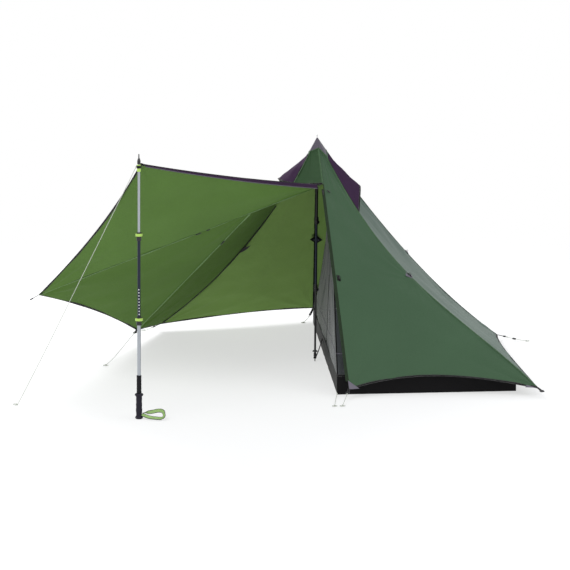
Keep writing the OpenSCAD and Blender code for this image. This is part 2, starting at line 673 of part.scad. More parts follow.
module guy_lock() color(black) placed(far_right_cord[1] + 8 * guy_lock_dir, guy_lock_dir, [0, 0, 1])
    difference() {
        translate([-4, -7, 0]) cube([8, 14, 20]);
        translate([0, 0, -1]) cylinder(h = 22, d = cord_d + 1.4);
        translate([-5, -4.5, 6]) cube([10, 2.2, 8]);
        translate([-5, 2.3, 6]) cube([10, 2.2, 8]);
    }

near_panel();
back_panel();
far_panel();
far_front_panel();
front_top_panel();
awning_near();
awning_mid();
awning_strip();
peak_cap();
peak_pin();
back_vent_hood();
front_vent_hood();
corner_patches();
corner_webbing();
corner_buckles();
mid_hip_patches();
ridge_band();
toggles();
door_zip_tape();
door_zip_slider();
tub_floor();
tub_walls();
mesh_walls();
inner_zip_tape();
inner_zip_slider();
foot_strap();
porch_grip();
porch_foam_sleeve();
porch_wrist_strap();
porch_upper_tube();
porch_upper_lock();
porch_upper_lever();
porch_mid_tube();
porch_lower_lock();
porch_lower_lever();
porch_tip_tube();
porch_tip();
porch_collar();
centre_grip();
centre_foam_sleeve();
centre_upper_tube();
centre_upper_lock();
centre_upper_lever();
centre_mid_tube();
centre_lower_lock();
centre_lower_lever();
centre_tip_tube();
centre_tip();
centre_basket();
guy_porch_pole();
guy_awning();
guy_porch_far();
guy_near_left();
guy_groundsheet();
guy_far_left();
guy_far_right();
guy_loops();
guy_lock();
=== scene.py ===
import math

import bpy
import numpy as np
from bpy.props import FloatProperty, FloatVectorProperty, IntProperty, PointerProperty
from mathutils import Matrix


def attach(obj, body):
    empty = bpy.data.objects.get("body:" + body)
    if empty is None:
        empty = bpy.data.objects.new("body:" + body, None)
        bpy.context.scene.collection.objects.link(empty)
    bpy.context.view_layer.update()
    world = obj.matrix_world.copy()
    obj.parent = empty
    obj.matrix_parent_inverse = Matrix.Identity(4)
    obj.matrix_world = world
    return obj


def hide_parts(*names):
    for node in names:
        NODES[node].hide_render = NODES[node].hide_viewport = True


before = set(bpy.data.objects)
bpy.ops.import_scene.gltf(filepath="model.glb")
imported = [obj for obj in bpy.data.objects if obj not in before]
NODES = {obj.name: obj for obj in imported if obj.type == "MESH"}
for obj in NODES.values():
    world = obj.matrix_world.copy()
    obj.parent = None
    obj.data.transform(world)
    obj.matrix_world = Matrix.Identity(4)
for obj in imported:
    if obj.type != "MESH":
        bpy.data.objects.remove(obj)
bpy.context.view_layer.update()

bl_info = {
    "name": "Teepee Tent Looks",
    "version": (1, 0, 0),
    "blender": (4, 5, 0),
    "location": "3D View > Sidebar > Tent",
    "description": "Builds the cloth, cords and finishes of a pitched teepee tent around its CAD frame",
    "category": "Add Mesh",
}

ROOT = "tent"

# The tent's fixed points in millimetres: +X from the porch to the back, +Y to the far side, +Z up
PEAK = 1293.0
HEM_CURVE = 0.05
NEAR_LEFT = (95, -1070, 45)
NEAR_RIGHT = (1090, -1080, 45)
FAR_RIGHT = (1166, 560, 30)
FAR_LEFT = (75, 1340, 80)
PORCH_FAR = (-929, 980, 45)
PORCH_NEAR = (-950, -900, 45)
HIP_NL = (NEAR_LEFT, 0, 0)
HIP_NR = (NEAR_RIGHT, 0.55, 0.39)
HIP_FR = (FAR_RIGHT, 0.32, 0)
HIP_FL = (FAR_LEFT, 0, 0)
HIP_PF = (PORCH_FAR, 0.42, 0.1)
HIP_PN = (PORCH_NEAR, 0.4, 0)
AWNING_A = np.array([-1556.0, -556, 480])
AWNING_B = np.array([-1066.0, 510, 90])
AWNING_P = np.array([-963.0, -1480, 1264])
CAP_FROM = 70 / PEAK / 1.35
DOOR_T = (PEAK - 1045) / (PEAK - 45)
DOOR_T_FRONT = 0.155
STRIP_T = 0.235
RIDGE_SAG = 14
FLOOR = [np.array(p, float) for p in ((41, -985, 0), (1000, -945, 0), (1030, 430, 0), (65, 1230, 0))]
INNER_PEAK = np.array([85.0, -20, 1000])
TUB_H = 100
FOOT_STRAP_Y = 250
CLOTH_LIFT = 1.3
PORCH_ZIP_GUARD_T = 0.452
DOOR_TAB_T = 0.576
INNER_DIAMOND = (0.553, 92)
CENTRE_FOOT = np.array([-15.0, -80, 1.2])
CENTRE_DIR = np.array([15.0, 80, 1248.8]) / math.sqrt(15.0 ** 2 + 80 ** 2 + 1248.8 ** 2)

# The camera: its place in metres, its tilt below level and turn in degrees, and its lens over its sensor
CAMERA_AT = (-0.6943, -9.714, 1.916)
CAMERA_TILT = 8.63
CAMERA_TURN = -3
CAMERA_REACH = 2.96491
SENSOR = 36
# The floor fades into the surround between these distances from the tent's middle, in metres
FLOOR_FADE = (2.6, 6.0)
# The printed scale on the porch pole's middle tube: its heights, and the tube's middle and near side,
# in metres
SCALE_Z = (0.515, 0.66)
SCALE_X = -0.9815
SCALE_Y = -1.4885

# Each guyline's route from the tent to its peg loop, in metres
GUYS = {
    "porch_pole": ((-0.983, -1.480, 1.260), (-1.143, -1.399, 0.943), (-1.303, -1.318, 0.626),
                   (-1.463, -1.236, 0.309), (-1.622, -1.155, 0.0046)),
    "awning": ((-1.0788, 0.4562, 0.0826), (-1.115, 0.310, 0.060), (-1.155, 0.140, 0.034),
               (-1.190, -0.010, 0.014), (-1.222, -0.140, 0.0045)),
    "porch_far": ((-0.981, 0.981, 0.025), (-1.005, 0.982, 0.013), (-1.030, 0.983, 0.0045)),
    "near_left": ((0.081, -1.123, 0.036), (0.066, -1.180, 0.021), (0.045, -1.262, 0.0044)),
    "groundsheet": ((0.040, -0.9872, 0.008), (0.026, -1.080, 0.005), (0.004, -1.262, 0.0044)),
    "far_left": ((0.048, 1.3266, 0.0328), (0.034, 1.300, 0.018), (0.002, 1.220, 0.0044)),
    "far_right": ((1.2175, 0.5394, 0.0224), (1.250, 0.524, 0.015), (1.330, 0.486, 0.0044)),
}


def srgb(text):
    """Linear colour from an sRGB hex string."""
    parts = [int(text[i:i + 2], 16) / 255 for i in (1, 3, 5)]
    return tuple(c / 12.92 if c <= 0.04045 else ((c + 0.055) / 1.055) ** 2.4 for c in parts)


class TeepeeSizes(bpy.types.PropertyGroup):
    cloth: FloatProperty(name="Cloth", description="Thickness the cloth is drawn at", default=0.0011,
                         min=0.0003, max=0.003, unit="LENGTH", precision=4)
    cord: FloatProperty(name="Cord", description="Guy cord's diameter", default=0.003, min=0.001, max=0.006,
                        unit="LENGTH", precision=4)
    ripstop: FloatProperty(name="Ripstop", description="Side of the cloth's ripstop squares", default=0.006,
                           min=0.002, max=0.02, unit="LENGTH", precision=4)
    seam: FloatProperty(name="Seam", description="Width of a felled seam", default=0.009, min=0.004, max=0.02,
                        unit="LENGTH", precision=4)
    binding: FloatProperty(name="Binding", description="Width of the hem binding", default=0.012, min=0.006,
                           max=0.03, unit="LENGTH", precision=4)
    wrinkle: FloatProperty(name="Wrinkles", description="How deep the cloth's creases are", default=1.0,
                           min=0.0, max=2.0, subtype="FACTOR")
    detail: IntProperty(name="Grid", description="Rows of each cloth panel", default=180, min=40, max=300)


def colour_prop(name, what, text):
    return FloatVectorProperty(name=name, description=what, subtype="COLOR", size=3, min=0, max=1,
                               default=srgb(text))


class TeepeeColours(bpy.types.PropertyGroup):
    near: colour_prop("Near panel", "Shaded green cloth of the near panel", "#3d583f")
    # Painted shade: the fly's green cloth painted darker where it lies in shade over the door
    front: colour_prop("Front", "Green cloth over the door", "#2c482a")
    awning: colour_prop("Awning", "Underside of the awning, lit through the cloth", "#618043")
    # Painted light: the inside of the fly's green cloth painted lighter for the light that comes through it
    inside: colour_prop("Inside", "Inside of the far panels", "#567534")
    # Painted light: the back panel's green painted paler for the grazing sheen it catches
    back: colour_prop("Back", "Back panel in the light", "#56695e")
    vents: colour_prop("Vents", "Vent hoods", "#3d2c42")
    cap: colour_prop("Cap", "Thin cloth of the peak", "#6a6470")
    webbing: colour_prop("Webbing", "Webbing, bindings and zips", "#0c0b0d")
    mesh: colour_prop("Mesh", "Insect mesh", "#3d4145")
    tub: colour_prop("Groundsheet", "Groundsheet's coated cloth", "#09080a")
    cord: colour_prop("Cord", "Guy cord", "#c3c8bc")
    lime: colour_prop("Lime", "Lime plastic and strap", "#a8cc5c")
    silver: colour_prop("Silver", "Anodised tube", "#a8adb3")
    navy: colour_prop("Navy", "Dark tube", "#232838")
    patch: colour_prop("Patch", "Corner patches", "#6c6772")


def sizes():
    return bpy.context.scene.teepee_sizes


def colours():
    return bpy.context.scene.teepee_colours


# ---- Numbers ----
def unit(v):
    v = np.asarray(v, float)
    return v / np.maximum(np.linalg.norm(v, axis=-1, keepdims=True), 1e-9)


def mix(a, b, t):
    t = np.asarray(t, float)[..., None]
    return np.asarray(a, float) * (1 - t) + np.asarray(b, float) * t


def bow(s):
    return 4 * s * (1 - s)


def fall(k, m, t):
    """How far a hip has dropped: (1 + k) t - k t^2 bends it inwards, m t (1 - t) (1 - 2 t) skews it."""
    return (1 + k) * t - k * t * t + m * t * (1 - t) * (1 - 2 * t)


def hip(h, t):
    """A hip's line: x and y run straight from the peak to the corner while z follows fall(t)."""
    t = np.asarray(t, float)
    c, k, m = h
    return np.stack([c[0] * t, c[1] * t, PEAK - (PEAK - c[2]) * fall(k, m, t)], -1)


def grid(n, m):
    return np.meshgrid(np.linspace(0, 1, n), np.linspace(0, 1, m), indexing="ij")


def dense(route, count):
    """Catmull-Rom: through every route point, each span a cubic whose slopes are half the
    difference of its neighbours, sampled at even lengths."""
    p = np.asarray(route, float)
    q = np.vstack([2 * p[0] - p[1], p, 2 * p[-1] - p[-2]])
    u = np.linspace(0, 1, 24, endpoint=False)[:, None]
    out = []
    for i in range(len(p) - 1):
        a, b, c, d = q[i:i + 4]
        out.append(0.5 * (2 * b + (c - a) * u + (2 * a - 5 * b + 4 * c - d) * u ** 2
                          + (3 * b - a - 3 * c + d) * u ** 3))
    out = np.vstack(out + [p[-1:]])
    run = np.concatenate([[0], np.cumsum(np.linalg.norm(np.diff(out, axis=0), axis=1))])
    at = np.linspace(0, run[-1], count)
    return np.stack([np.interp(at, run, out[:, k]) for k in range(3)], -1)


def normals(points, out):
    n = unit(np.cross(np.gradient(points, axis=0), np.gradient(points, axis=1)))
    return n if (n.reshape(-1, 3) @ np.asarray(out, float)).mean() > 0 else -n


def metric(points):
    """Lengths along the rows and down the columns, measured on the surface in millimetres."""
    a = np.linalg.norm(np.diff(points, axis=1), axis=2).cumsum(axis=1)
    d = np.linalg.norm(np.diff(points, axis=0), axis=2).cumsum(axis=0)
    return np.pad(a, ((0, 0), (1, 0))), np.pad(d, ((1, 0), (0, 0)))


def cloth(points, out, seed, sag=0.0, fans=(), pucker=(1, 1, 0, 1), waves=1.0):
    """A stretched panel: its grid moves along its normals by a slow sag bow(s) bow(t), a few long sine waves,
    fans of creases a exp(-r / L) sin(k angle) about the corners that pull, and short sine puckers that die
    away from each sewn edge. All of it fades to nothing at the edges, so neighbours still meet."""
    rng = np.random.default_rng(seed)
    depth = sizes().wrinkle
    across, down = metric(points)
    w, h = across[:, -1:], down[-1:, :]
    x, y = across - w / 2, down
    lift = -sag * bow(across / w) * bow(down / h)
    for _ in range(6):
        kx, ky = rng.normal(0, 1, 2) / 520
        lift = lift + depth * waves * 1.3 * np.sin(2 * math.pi * (kx * x + ky * y) + rng.uniform(0, 6.28))
    for s, t, amp, count in fans:
        i, j = int(t * (points.shape[0] - 1)), int(s * (points.shape[1] - 1))
        dx, dy = x - x[i, j], y - y[i, j]
        r, ang = np.hypot(dx, dy), np.arctan2(dy, dx)
        bend = 0.5 * np.sin(r / 230 + rng.uniform(0, 6.28))
        lift = lift + depth * amp * np.exp(-r / 420) * (1 - np.exp(-r / 70)) * (
            np.sin(count * ang + bend + rng.uniform(0, 6.28))
            + 0.5 * np.sin(1.7 * count * ang + rng.uniform(0, 6.28)))
    edges = (across, w - across, down, h - down)
    for k, (near, along) in enumerate(zip(edges, (down, down, x, x))):
        if pucker[k]:
            ph = rng.uniform(0, 6.28)
            lift = lift + depth * 0.9 * pucker[k] * np.exp(-near / 26) * np.sin(
                2 * math.pi * along / 46 + 1.4 * np.sin(along / 67 + ph))
    hold = 1.0
    for k, near in enumerate(edges):
        hold = hold * (1 - np.exp(-near / (9 if k != 2 else 4)))
    return points + normals(points, out) * (lift * hold)[..., None]


# ---- Meshes ----
class Mould:
    """Collects grids and swept strips in millimetres, and makes one mesh object of them in metres."""

    def __init__(self):
        self.v, self.uv, self.f, self.m, self.count = [], [], [], [], 0

    def put(self, verts, uvs, faces, slot):
        self.v.append(verts)
        self.uv.append(uvs)
        self.f.append(np.where(faces >= 0, faces + self.count, -1))
        self.m.append(np.full(len(faces), slot))
        self.count += len(verts)
        return self

    def sheet(self, points, out=None, slot=0, around=False, uv=None):
        n, m = points.shape[:2]
        ids = np.arange(n * m).reshape(n, m)
        if around:
            ids = np.hstack([ids, ids[:, :1]])
        f = np.stack([ids[:-1, :-1], ids[1:, :-1], ids[1:, 1:], ids[:-1, 1:]], -1).reshape(-1, 4)
        if out is not None:
            p = points.reshape(-1, 3)
            face = np.cross(p[f[:, 1]] - p[f[:, 0]], p[f[:, 3]] - p[f[:, 0]])
            if (face @ np.asarray(out, float)).mean() < 0:
                f = f[:, ::-1]
        if uv is None:
            uv = np.stack(metric(points), -1)
        return self.put(points.reshape(-1, 3), uv.reshape(-1, 2) * 0.001, f, slot)

    def sweep(self, route, side, w, t, slot=0, lift=0.0, shape="flat", scale=None):
        """A strip of width w and thickness t swept along route, its width lying along side. The section is a
        superellipse |a|^p + |b|^p = 1: p = 8 for a flat tape, 2 for a round cord."""
        p = np.asarray(route, float)
        d = unit(np.gradient(p, axis=0))
        side = np.broadcast_to(np.asarray(side, float), p.shape)
        side = unit(side - d * (side * d).sum(-1, keepdims=True))
        up = np.cross(d, side)
        p = p + up * lift
        ang = np.linspace(0, 2 * math.pi, 13 if shape == "round" else 17)[:-1]
        e = 1.0 if shape == "round" else 0.25
        a = np.sign(np.cos(ang)) * np.abs(np.cos(ang)) ** e * w / 2
        b = np.sign(np.sin(ang)) * np.abs(np.sin(ang)) ** e * t / 2
        if scale is None:
            scale = np.ones(len(p))
        ring = (p[:, None] + side[:, None] * (a[None, :] * scale[:, None])[..., None]
                + up[:, None] * (b[None, :] * scale[:, None])[..., None])
        run = np.concatenate([[0], np.linalg.norm(np.diff(p, axis=0), axis=1).cumsum()])
        uv = np.stack(np.broadcast_arrays(run[:, None], a[None, :]), -1) * 0.001
        n, m = ring.shape[:2]
        ids = np.arange(n * m).reshape(n, m)
        ids2 = np.hstack([ids, ids[:, :1]])
        f = np.stack([ids2[:-1, :-1], ids2[:-1, 1:], ids2[1:, 1:], ids2[1:, :-1]], -1).reshape(-1, 4)
        verts = np.vstack([ring.reshape(-1, 3), ring[0].mean(0)[None], ring[-1].mean(0)[None]])
        uv = np.vstack([uv.reshape(-1, 2), [[0, 0]], [[run[-1] * 0.001, 0]]])
        first = np.stack([ids2[0, 1:], ids2[0, :-1], np.full(m, n * m), np.full(m, -1)], -1)
        last = np.stack([ids2[-1, :-1], ids2[-1, 1:], np.full(m, n * m + 1), np.full(m, -1)], -1)
        return self.put(verts, uv, np.vstack([f, first, last]), slot)

    def ring(self, centre, axis, radius, d, slot=0, squash=1.0):
        """A closed ring: a round section swept about axis."""
        axis = unit(axis)
        x = unit(np.cross(axis, (0.3, 0.9, 0.2)))
        y = np.cross(axis, x)
        a, b = np.meshgrid(np.linspace(0, 2 * math.pi, 40, endpoint=False),
                           np.linspace(0, 2 * math.pi, 10, endpoint=False), indexing="ij")
        r = radius + d / 2 * np.cos(b)
        p = (np.asarray(centre, float) + (r * np.cos(a))[..., None] * x
             + (r * squash * np.sin(a))[..., None] * y + (d / 2 * np.sin(b))[..., None] * axis)
        ids = np.arange(400).reshape(40, 10)
        nxt, rgt = np.roll(ids, -1, 0), np.roll(ids, -1, 1)
        f = np.stack([ids, nxt, np.roll(nxt, -1, 1), rgt], -1).reshape(-1, 4)
        return self.put(p.reshape(-1, 3), np.stack([a * radius, b * d], -1).reshape(-1, 2) * 0.001, f, slot)

    def knot(self, centre, axis, d, slot=0):
        """A wound knot: a cord of diameter d that spirals on a short barrel about axis."""
        axis = unit(axis)
        x = unit(np.cross(axis, (0.2, 0.3, 0.9)))
        y = np.cross(axis, x)
        u = np.linspace(0, 1, 90)[:, None]
        a = u * 2 * math.pi * 3.4
        p = (np.asarray(centre, float) + axis * (u - 0.5) * d * 3.4
             + (np.cos(a) * x + np.sin(a) * y) * d * 0.85)
        return self.sweep(p, axis, d, d, slot, shape="round")

    def make(self, name, mats, body=ROOT, thick=0.0, inner=0):
        v, uv = np.vstack(self.v) * 0.001, np.vstack(self.uv)
        f, m = np.vstack(self.f), np.concatenate(self.m)
        used = f >= 0
        loops, size = f[used], used.sum(1)
        me = bpy.data.meshes.new(name)
        me.vertices.add(len(v))
        me.vertices.foreach_set("co", v.ravel())
        me.loops.add(len(loops))
        me.loops.foreach_set("vertex_index", loops)
        me.polygons.add(len(f))
        me.polygons.foreach_set("loop_start", np.concatenate([[0], size.cumsum()[:-1]]))
        me.polygons.foreach_set("material_index", m)
        me.polygons.foreach_set("use_smooth", np.ones(len(f), bool))
        me.uv_layers.new(name="UVMap").data.foreach_set("uv", uv[loops].ravel())
        me.update(calc_edges=True)
        me.validate()
        for mat in mats:
            me.materials.append(mat)
        ob = bpy.data.objects.new(name, me)
        bpy.context.scene.collection.objects.link(ob)
        if thick:
            mod = ob.modifiers.new("Thickness", "SOLIDIFY")
            mod.thickness, mod.offset = thick, -1
            mod.material_offset = mod.material_offset_rim = inner
        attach(ob, body)
        return ob


# ---- Materials ----
def add(tree, kind, inputs=None, **props):
    """Adds a node, sets its properties, and links or sets its inputs."""
    node = tree.nodes.new(kind)
    for key, value in props.items():
        setattr(node, key, value)
    for key, value in (inputs or {}).items():
        if isinstance(value, bpy.types.NodeSocket):
            tree.links.new(value, node.inputs[key])
        else:
            node.inputs[key].default_value = value
    return node


def calc(tree, how, a, b=0.0, c=0.0):
    return add(tree, "ShaderNodeMath", {0: a, 1: b, 2: c}, operation=how).outputs[0]


def fresh(name):
    mat = bpy.data.materials.new(name)
    mat.use_nodes = True
    tree = mat.node_tree
    tree.nodes.clear()
    out = add(tree, "ShaderNodeOutputMaterial")
    coords = add(tree, "ShaderNodeTexCoord")
    return mat, tree, out, coords


def bump(tree, height, strength, distance, normal=None):
    inputs = {"Height": height, "Strength": strength, "Distance": distance}
    if normal is not None:
        inputs["Normal"] = normal
    return add(tree, "ShaderNodeBump", inputs).outputs[0]


def shade(tree, colour, fac, amount):
    """colour made darker and lighter about itself by a factor that runs from 0 to 1."""
    lo = tuple(c * (1 - amount) for c in colour) + (1,)
    hi = tuple(min(1, c * (1 + amount)) for c in colour) + (1,)
    return add(tree, "ShaderNodeMix", {0: fac, 6: lo, 7: hi}, data_type="RGBA").outputs[2]


def ripstop_cloth(name, colour, through=0.25, rough=0.6, sheen=0.06, creases=0.5, lit=None, shine=0.2):
    """Ripstop cloth: thicker threads in squares, a fine plain weave, soft creases and light through it."""
    mat, t, out, co = fresh(name)
    uv = co.outputs["UV"]
    side = sizes().ripstop
    # The squares of thicker thread catch the light as a faint net
    brick = add(t, "ShaderNodeTexBrick",
                {"Vector": uv, "Scale": 1.0, "Mortar Size": side * 0.06, "Mortar Smooth": 0.6,
                "Bias": 0.0, "Brick Width": side, "Row Height": side}, offset=0.0, squash=1.0)
    warp = add(t, "ShaderNodeTexWave", {"Vector": uv, "Scale": 420.0}, bands_direction="X")
    weft = add(t, "ShaderNodeTexWave", {"Vector": uv, "Scale": 420.0}, bands_direction="Y")
    weave = calc(t, "MULTIPLY", warp.outputs["Fac"], weft.outputs["Fac"])
    # Slow noise leaves the crumple that coated cloth keeps after it is packed
    soft = add(t, "ShaderNodeTexNoise",
               {"Vector": uv, "Scale": 7.0, "Detail": 5.0, "Roughness": 0.55, "Distortion": 0.6})
    fold = add(t, "ShaderNodeTexVoronoi", {"Vector": uv, "Scale": 11.0, "Randomness": 1.0},
               feature="DISTANCE_TO_EDGE")
    line = calc(t, "SUBTRACT", 1.0,
                calc(t, "MINIMUM", calc(t, "MULTIPLY", fold.outputs["Distance"], 9.0), 1.0))
    tone = add(t, "ShaderNodeTexNoise", {"Vector": uv, "Scale": 2.2, "Detail": 3.0})
    n = bump(t, soft.outputs["Fac"], 0.55 * creases, 0.02)
    n = bump(t, line, 0.16 * creases, 0.004, n)
    n = bump(t, brick.outputs["Fac"], 0.5, 0.0002, n)
    n = bump(t, weave, 0.35, 0.00012, n)
    col = shade(t, colour, tone.outputs["Fac"], 0.12)
    net = add(t, "ShaderNodeMix", {0: calc(t, "MULTIPLY", brick.outputs["Fac"], 0.18), 6: col,
              7: tuple(c * 0.55 for c in colour) + (1,)}, data_type="RGBA").outputs[2]
    bsdf = add(t, "ShaderNodeBsdfPrincipled",
               {"Base Color": net, "Roughness": rough, "Normal": n, "Sheen Weight": sheen,
               "Sheen Roughness": 0.4, "Specular IOR Level": shine})
    glow = shade(t, colour if lit is None else srgb(lit), tone.outputs["Fac"], 0.1)
    thru = add(t, "ShaderNodeBsdfTranslucent", {"Color": glow, "Normal": n})
    both = add(t, "ShaderNodeMixShader", {0: through, 1: bsdf.outputs[0], 2: thru.outputs[0]})
    t.links.new(both.outputs[0], out.inputs[0])
    return mat


def woven_tape(name, colour, stitch="#8a8a88", width=0.012, edge=None):
    """Webbing or binding tape: ribs across it, two rows of stitches, and edge colour if it has one."""
    mat, t, out, co = fresh(name)
    xy = add(t, "ShaderNodeSeparateXYZ", {0: co.outputs["UV"]})
    u, v = xy.outputs[0], calc(t, "ABSOLUTE", xy.outputs[1])
    rib = calc(t, "SINE", calc(t, "MULTIPLY", u, 2 * math.pi / 0.0011))
    cross = calc(t, "SINE", calc(t, "MULTIPLY", xy.outputs[1], 2 * math.pi / 0.0009))
    weave = calc(t, "MULTIPLY", rib, cross)
    on_line = calc(t, "LESS_THAN", calc(t, "ABSOLUTE", calc(t, "SUBTRACT", v, width * 0.33)), 0.00042)
    dash = calc(t, "LESS_THAN", calc(t, "FRACT", calc(t, "MULTIPLY", u, 1 / 0.0034)), 0.68)
    sewn = calc(t, "MULTIPLY", on_line, dash)
    wear = add(t, "ShaderNodeTexNoise", {"Vector": co.outputs["Object"], "Scale": 60.0, "Detail": 3.0})
    base = shade(t, colour, wear.outputs["Fac"], 0.3)
    if edge is not None:
        band = calc(t, "GREATER_THAN", v, width * 0.36)
        base = add(t, "ShaderNodeMix", {0: band, 6: base, 7: tuple(edge) + (1,)}, data_type="RGBA").outputs[2]
    base = add(t, "ShaderNodeMix", {0: sewn, 6: base, 7: srgb(stitch) + (1,)}, data_type="RGBA").outputs[2]
    n = bump(t, weave, 0.5, 0.0003)
    n = bump(t, sewn, 0.6, 0.0006, n)
    bsdf = add(t, "ShaderNodeBsdfPrincipled",
               {"Base Color": base, "Roughness": 0.8, "Normal": n, "Sheen Weight": 0.04,
               "Specular IOR Level": 0.15})
    t.links.new(bsdf.outputs[0], out.inputs[0])
    return mat


def insect_mesh(name, colour):
    """Insect mesh: threads round small open holes, so what is behind shows through."""
    mat, t, out, co = fresh(name)
    xy = add(t, "ShaderNodeSeparateXYZ", {0: co.outputs["UV"]})
    lines = []
    for k in (0, 1):
        saw = calc(t, "FRACT", calc(t, "MULTIPLY", xy.outputs[k], 1 / 0.0018))
        lines.append(calc(t, "LESS_THAN", saw, 0.46))
    thread = calc(t, "MAXIMUM", lines[0], lines[1])
    tone = add(t, "ShaderNodeTexNoise", {"Vector": co.outputs["Object"], "Scale": 5.0, "Detail": 3.0})
    bsdf = add(t, "ShaderNodeBsdfPrincipled", {"Base Color": shade(t, colour, tone.outputs["Fac"], 0.2),
               "Roughness": 0.7, "Sheen Weight": 0.4, "Specular IOR Level": 0.3})
    hole = add(t, "ShaderNodeBsdfTransparent")
    both = add(t, "ShaderNodeMixShader", {0: thread, 1: hole.outputs[0], 2: bsdf.outputs[0]})
    t.links.new(both.outputs[0], out.inputs[0])
    return mat


def coated_cloth(name, colour):
    """Groundsheet: a dark coated cloth with a low sheen, fine weave and soft dents."""
    mat, t, out, co = fresh(name)
    at = co.outputs["Object"]
    weave = add(t, "ShaderNodeTexVoronoi", {"Vector": at, "Scale": 900.0})
    dent = add(t, "ShaderNodeTexNoise",
               {"Vector": at, "Scale": 9.0, "Detail": 6.0, "Roughness": 0.6, "Distortion": 1.0})
    n = bump(t, dent.outputs["Fac"], 0.6, 0.012)
    n = bump(t, weave.outputs["Distance"], 0.2, 0.0002, n)
    # The dents' noise also sets the colour: painted shade, darker in the dents and lighter on the rises
    bsdf = add(t, "ShaderNodeBsdfPrincipled",
               {"Base Color": shade(t, colour, dent.outputs["Fac"], 0.35), "Roughness": 0.55,
               "Normal": n, "Specular IOR Level": 0.12})
    t.links.new(bsdf.outputs[0], out.inputs[0])
    return mat


def braided_cord(name, colour):
    """Guy cord: a braid's small diagonal lumps with painted shade in the grooves between them, and a few
    darker flecks.
    """
    mat, t, out, co = fresh(name)
    at = co.outputs["Object"]
    braid = add(t, "ShaderNodeTexWave", {"Vector": at, "Scale": 150.0, "Distortion": 1.5, "Detail": 1.0},
                bands_direction="DIAGONAL")
    fleck = add(t, "ShaderNodeTexVoronoi", {"Vector": at, "Scale": 260.0})
    n = bump(t, braid.outputs["Fac"], 0.8, 0.0006)
    # The colour darkens in the braid's grooves, which is painted shade, and at the flecks, which are the
    # cord's own tone
    fac = calc(t, "MULTIPLY", braid.outputs["Fac"], fleck.outputs["Distance"])
    bsdf = add(t, "ShaderNodeBsdfPrincipled", {"Base Color": shade(t, colour, fac, 0.25), "Roughness": 0.75,
               "Normal": n, "Sheen Weight": 0.3})
    t.links.new(bsdf.outputs[0], out.inputs[0])
    return mat


def plastic(name, colour, rough=0.4, grain=0.25):
    """Moulded plastic: a fine spark texture from the mould and a little handling wear in the gloss."""
    mat, t, out, co = fresh(name)
    at = co.outputs["Object"]
    pits = add(t, "ShaderNodeTexVoronoi", {"Vector": at, "Scale": 1400.0})
    wear = add(t, "ShaderNodeTexNoise", {"Vector": at, "Scale": 70.0, "Detail": 4.0})
    n = bump(t, pits.outputs["Distance"], grain, 0.0002)
    gloss = calc(t, "ADD", calc(t, "MULTIPLY", wear.outputs["Fac"], 0.2), rough - 0.1)
    bsdf = add(t, "ShaderNodeBsdfPrincipled",
               {"Base Color": shade(t, colour, wear.outputs["Fac"], 0.1), "Roughness": gloss,
               "Normal": n, "Specular IOR Level": 0.5})
    t.links.new(bsdf.outputs[0], out.inputs[0])
    return mat


def foam(name, colour, cells, ribs=0.0):
    """Foam or soft grip rubber: open cells in the skin, and moulded rings along the pole if ribs is set."""
    mat, t, out, co = fresh(name)
    at = co.outputs["Object"]
    cell = add(t, "ShaderNodeTexVoronoi", {"Vector": at, "Scale": cells})
    n = bump(t, cell.outputs["Distance"], 0.5, 0.0006)
    if ribs:
        z = add(t, "ShaderNodeSeparateXYZ", {0: at}).outputs[2]
        ring = calc(t, "SINE", calc(t, "MULTIPLY", z, 2 * math.pi / ribs))
        n = bump(t, ring, 0.4, 0.0008, n)
    # The cells' distance also sets the colour: painted shade, darker in the open cells
    bsdf = add(t, "ShaderNodeBsdfPrincipled", {"Base Color": shade(t, colour, cell.outputs["Distance"], 0.3),
               "Roughness": 0.85, "Normal": n, "Specular IOR Level": 0.25})
    t.links.new(bsdf.outputs[0], out.inputs[0])
    return mat


def anodised(name, colour, metal=1.0, rough=0.32, ticks=False):
    """Anodised tube: fine lines drawn along it, and on the middle tube a printed scale of small marks."""
    mat, t, out, co = fresh(name)
    at = co.outputs["Object"]
    stretch = add(t, "ShaderNodeMapping", {"Vector": at, "Scale": (900.0, 900.0, 12.0)})
    drawn = add(t, "ShaderNodeTexNoise", {"Vector": stretch.outputs[0], "Scale": 1.0, "Detail": 3.0})
    n = bump(t, drawn.outputs["Fac"], 0.15, 0.0001)
    base = shade(t, colour, drawn.outputs["Fac"], 0.08)
    if ticks:
        xyz = add(t, "ShaderNodeSeparateXYZ", {0: at})
        step = calc(t, "LESS_THAN", calc(t, "FRACT", calc(t, "MULTIPLY", xyz.outputs[2], 65.0)), 0.36)
        zone = calc(t, "MULTIPLY", calc(t, "GREATER_THAN", xyz.outputs[2], SCALE_Z[0]),
                    calc(t, "LESS_THAN", xyz.outputs[2], SCALE_Z[1]))
        # The marks face the way the porch opens, on the near side of the tube
        near_x = calc(t, "LESS_THAN", calc(t, "ABSOLUTE", calc(t, "ADD", xyz.outputs[0], -SCALE_X)), 0.0024)
        near_y = calc(t, "LESS_THAN", xyz.outputs[1], SCALE_Y)
        mark = calc(t, "MULTIPLY", calc(t, "MULTIPLY", step, zone), calc(t, "MULTIPLY", near_x, near_y))
        base = add(t, "ShaderNodeMix", {0: mark, 6: base, 7: (0.75, 0.77, 0.78, 1)},
                   data_type="RGBA").outputs[2]
    bsdf = add(t, "ShaderNodeBsdfPrincipled",
               {"Base Color": base, "Metallic": metal, "Roughness": rough, "Normal": n})
    t.links.new(bsdf.outputs[0], out.inputs[0])
    return mat


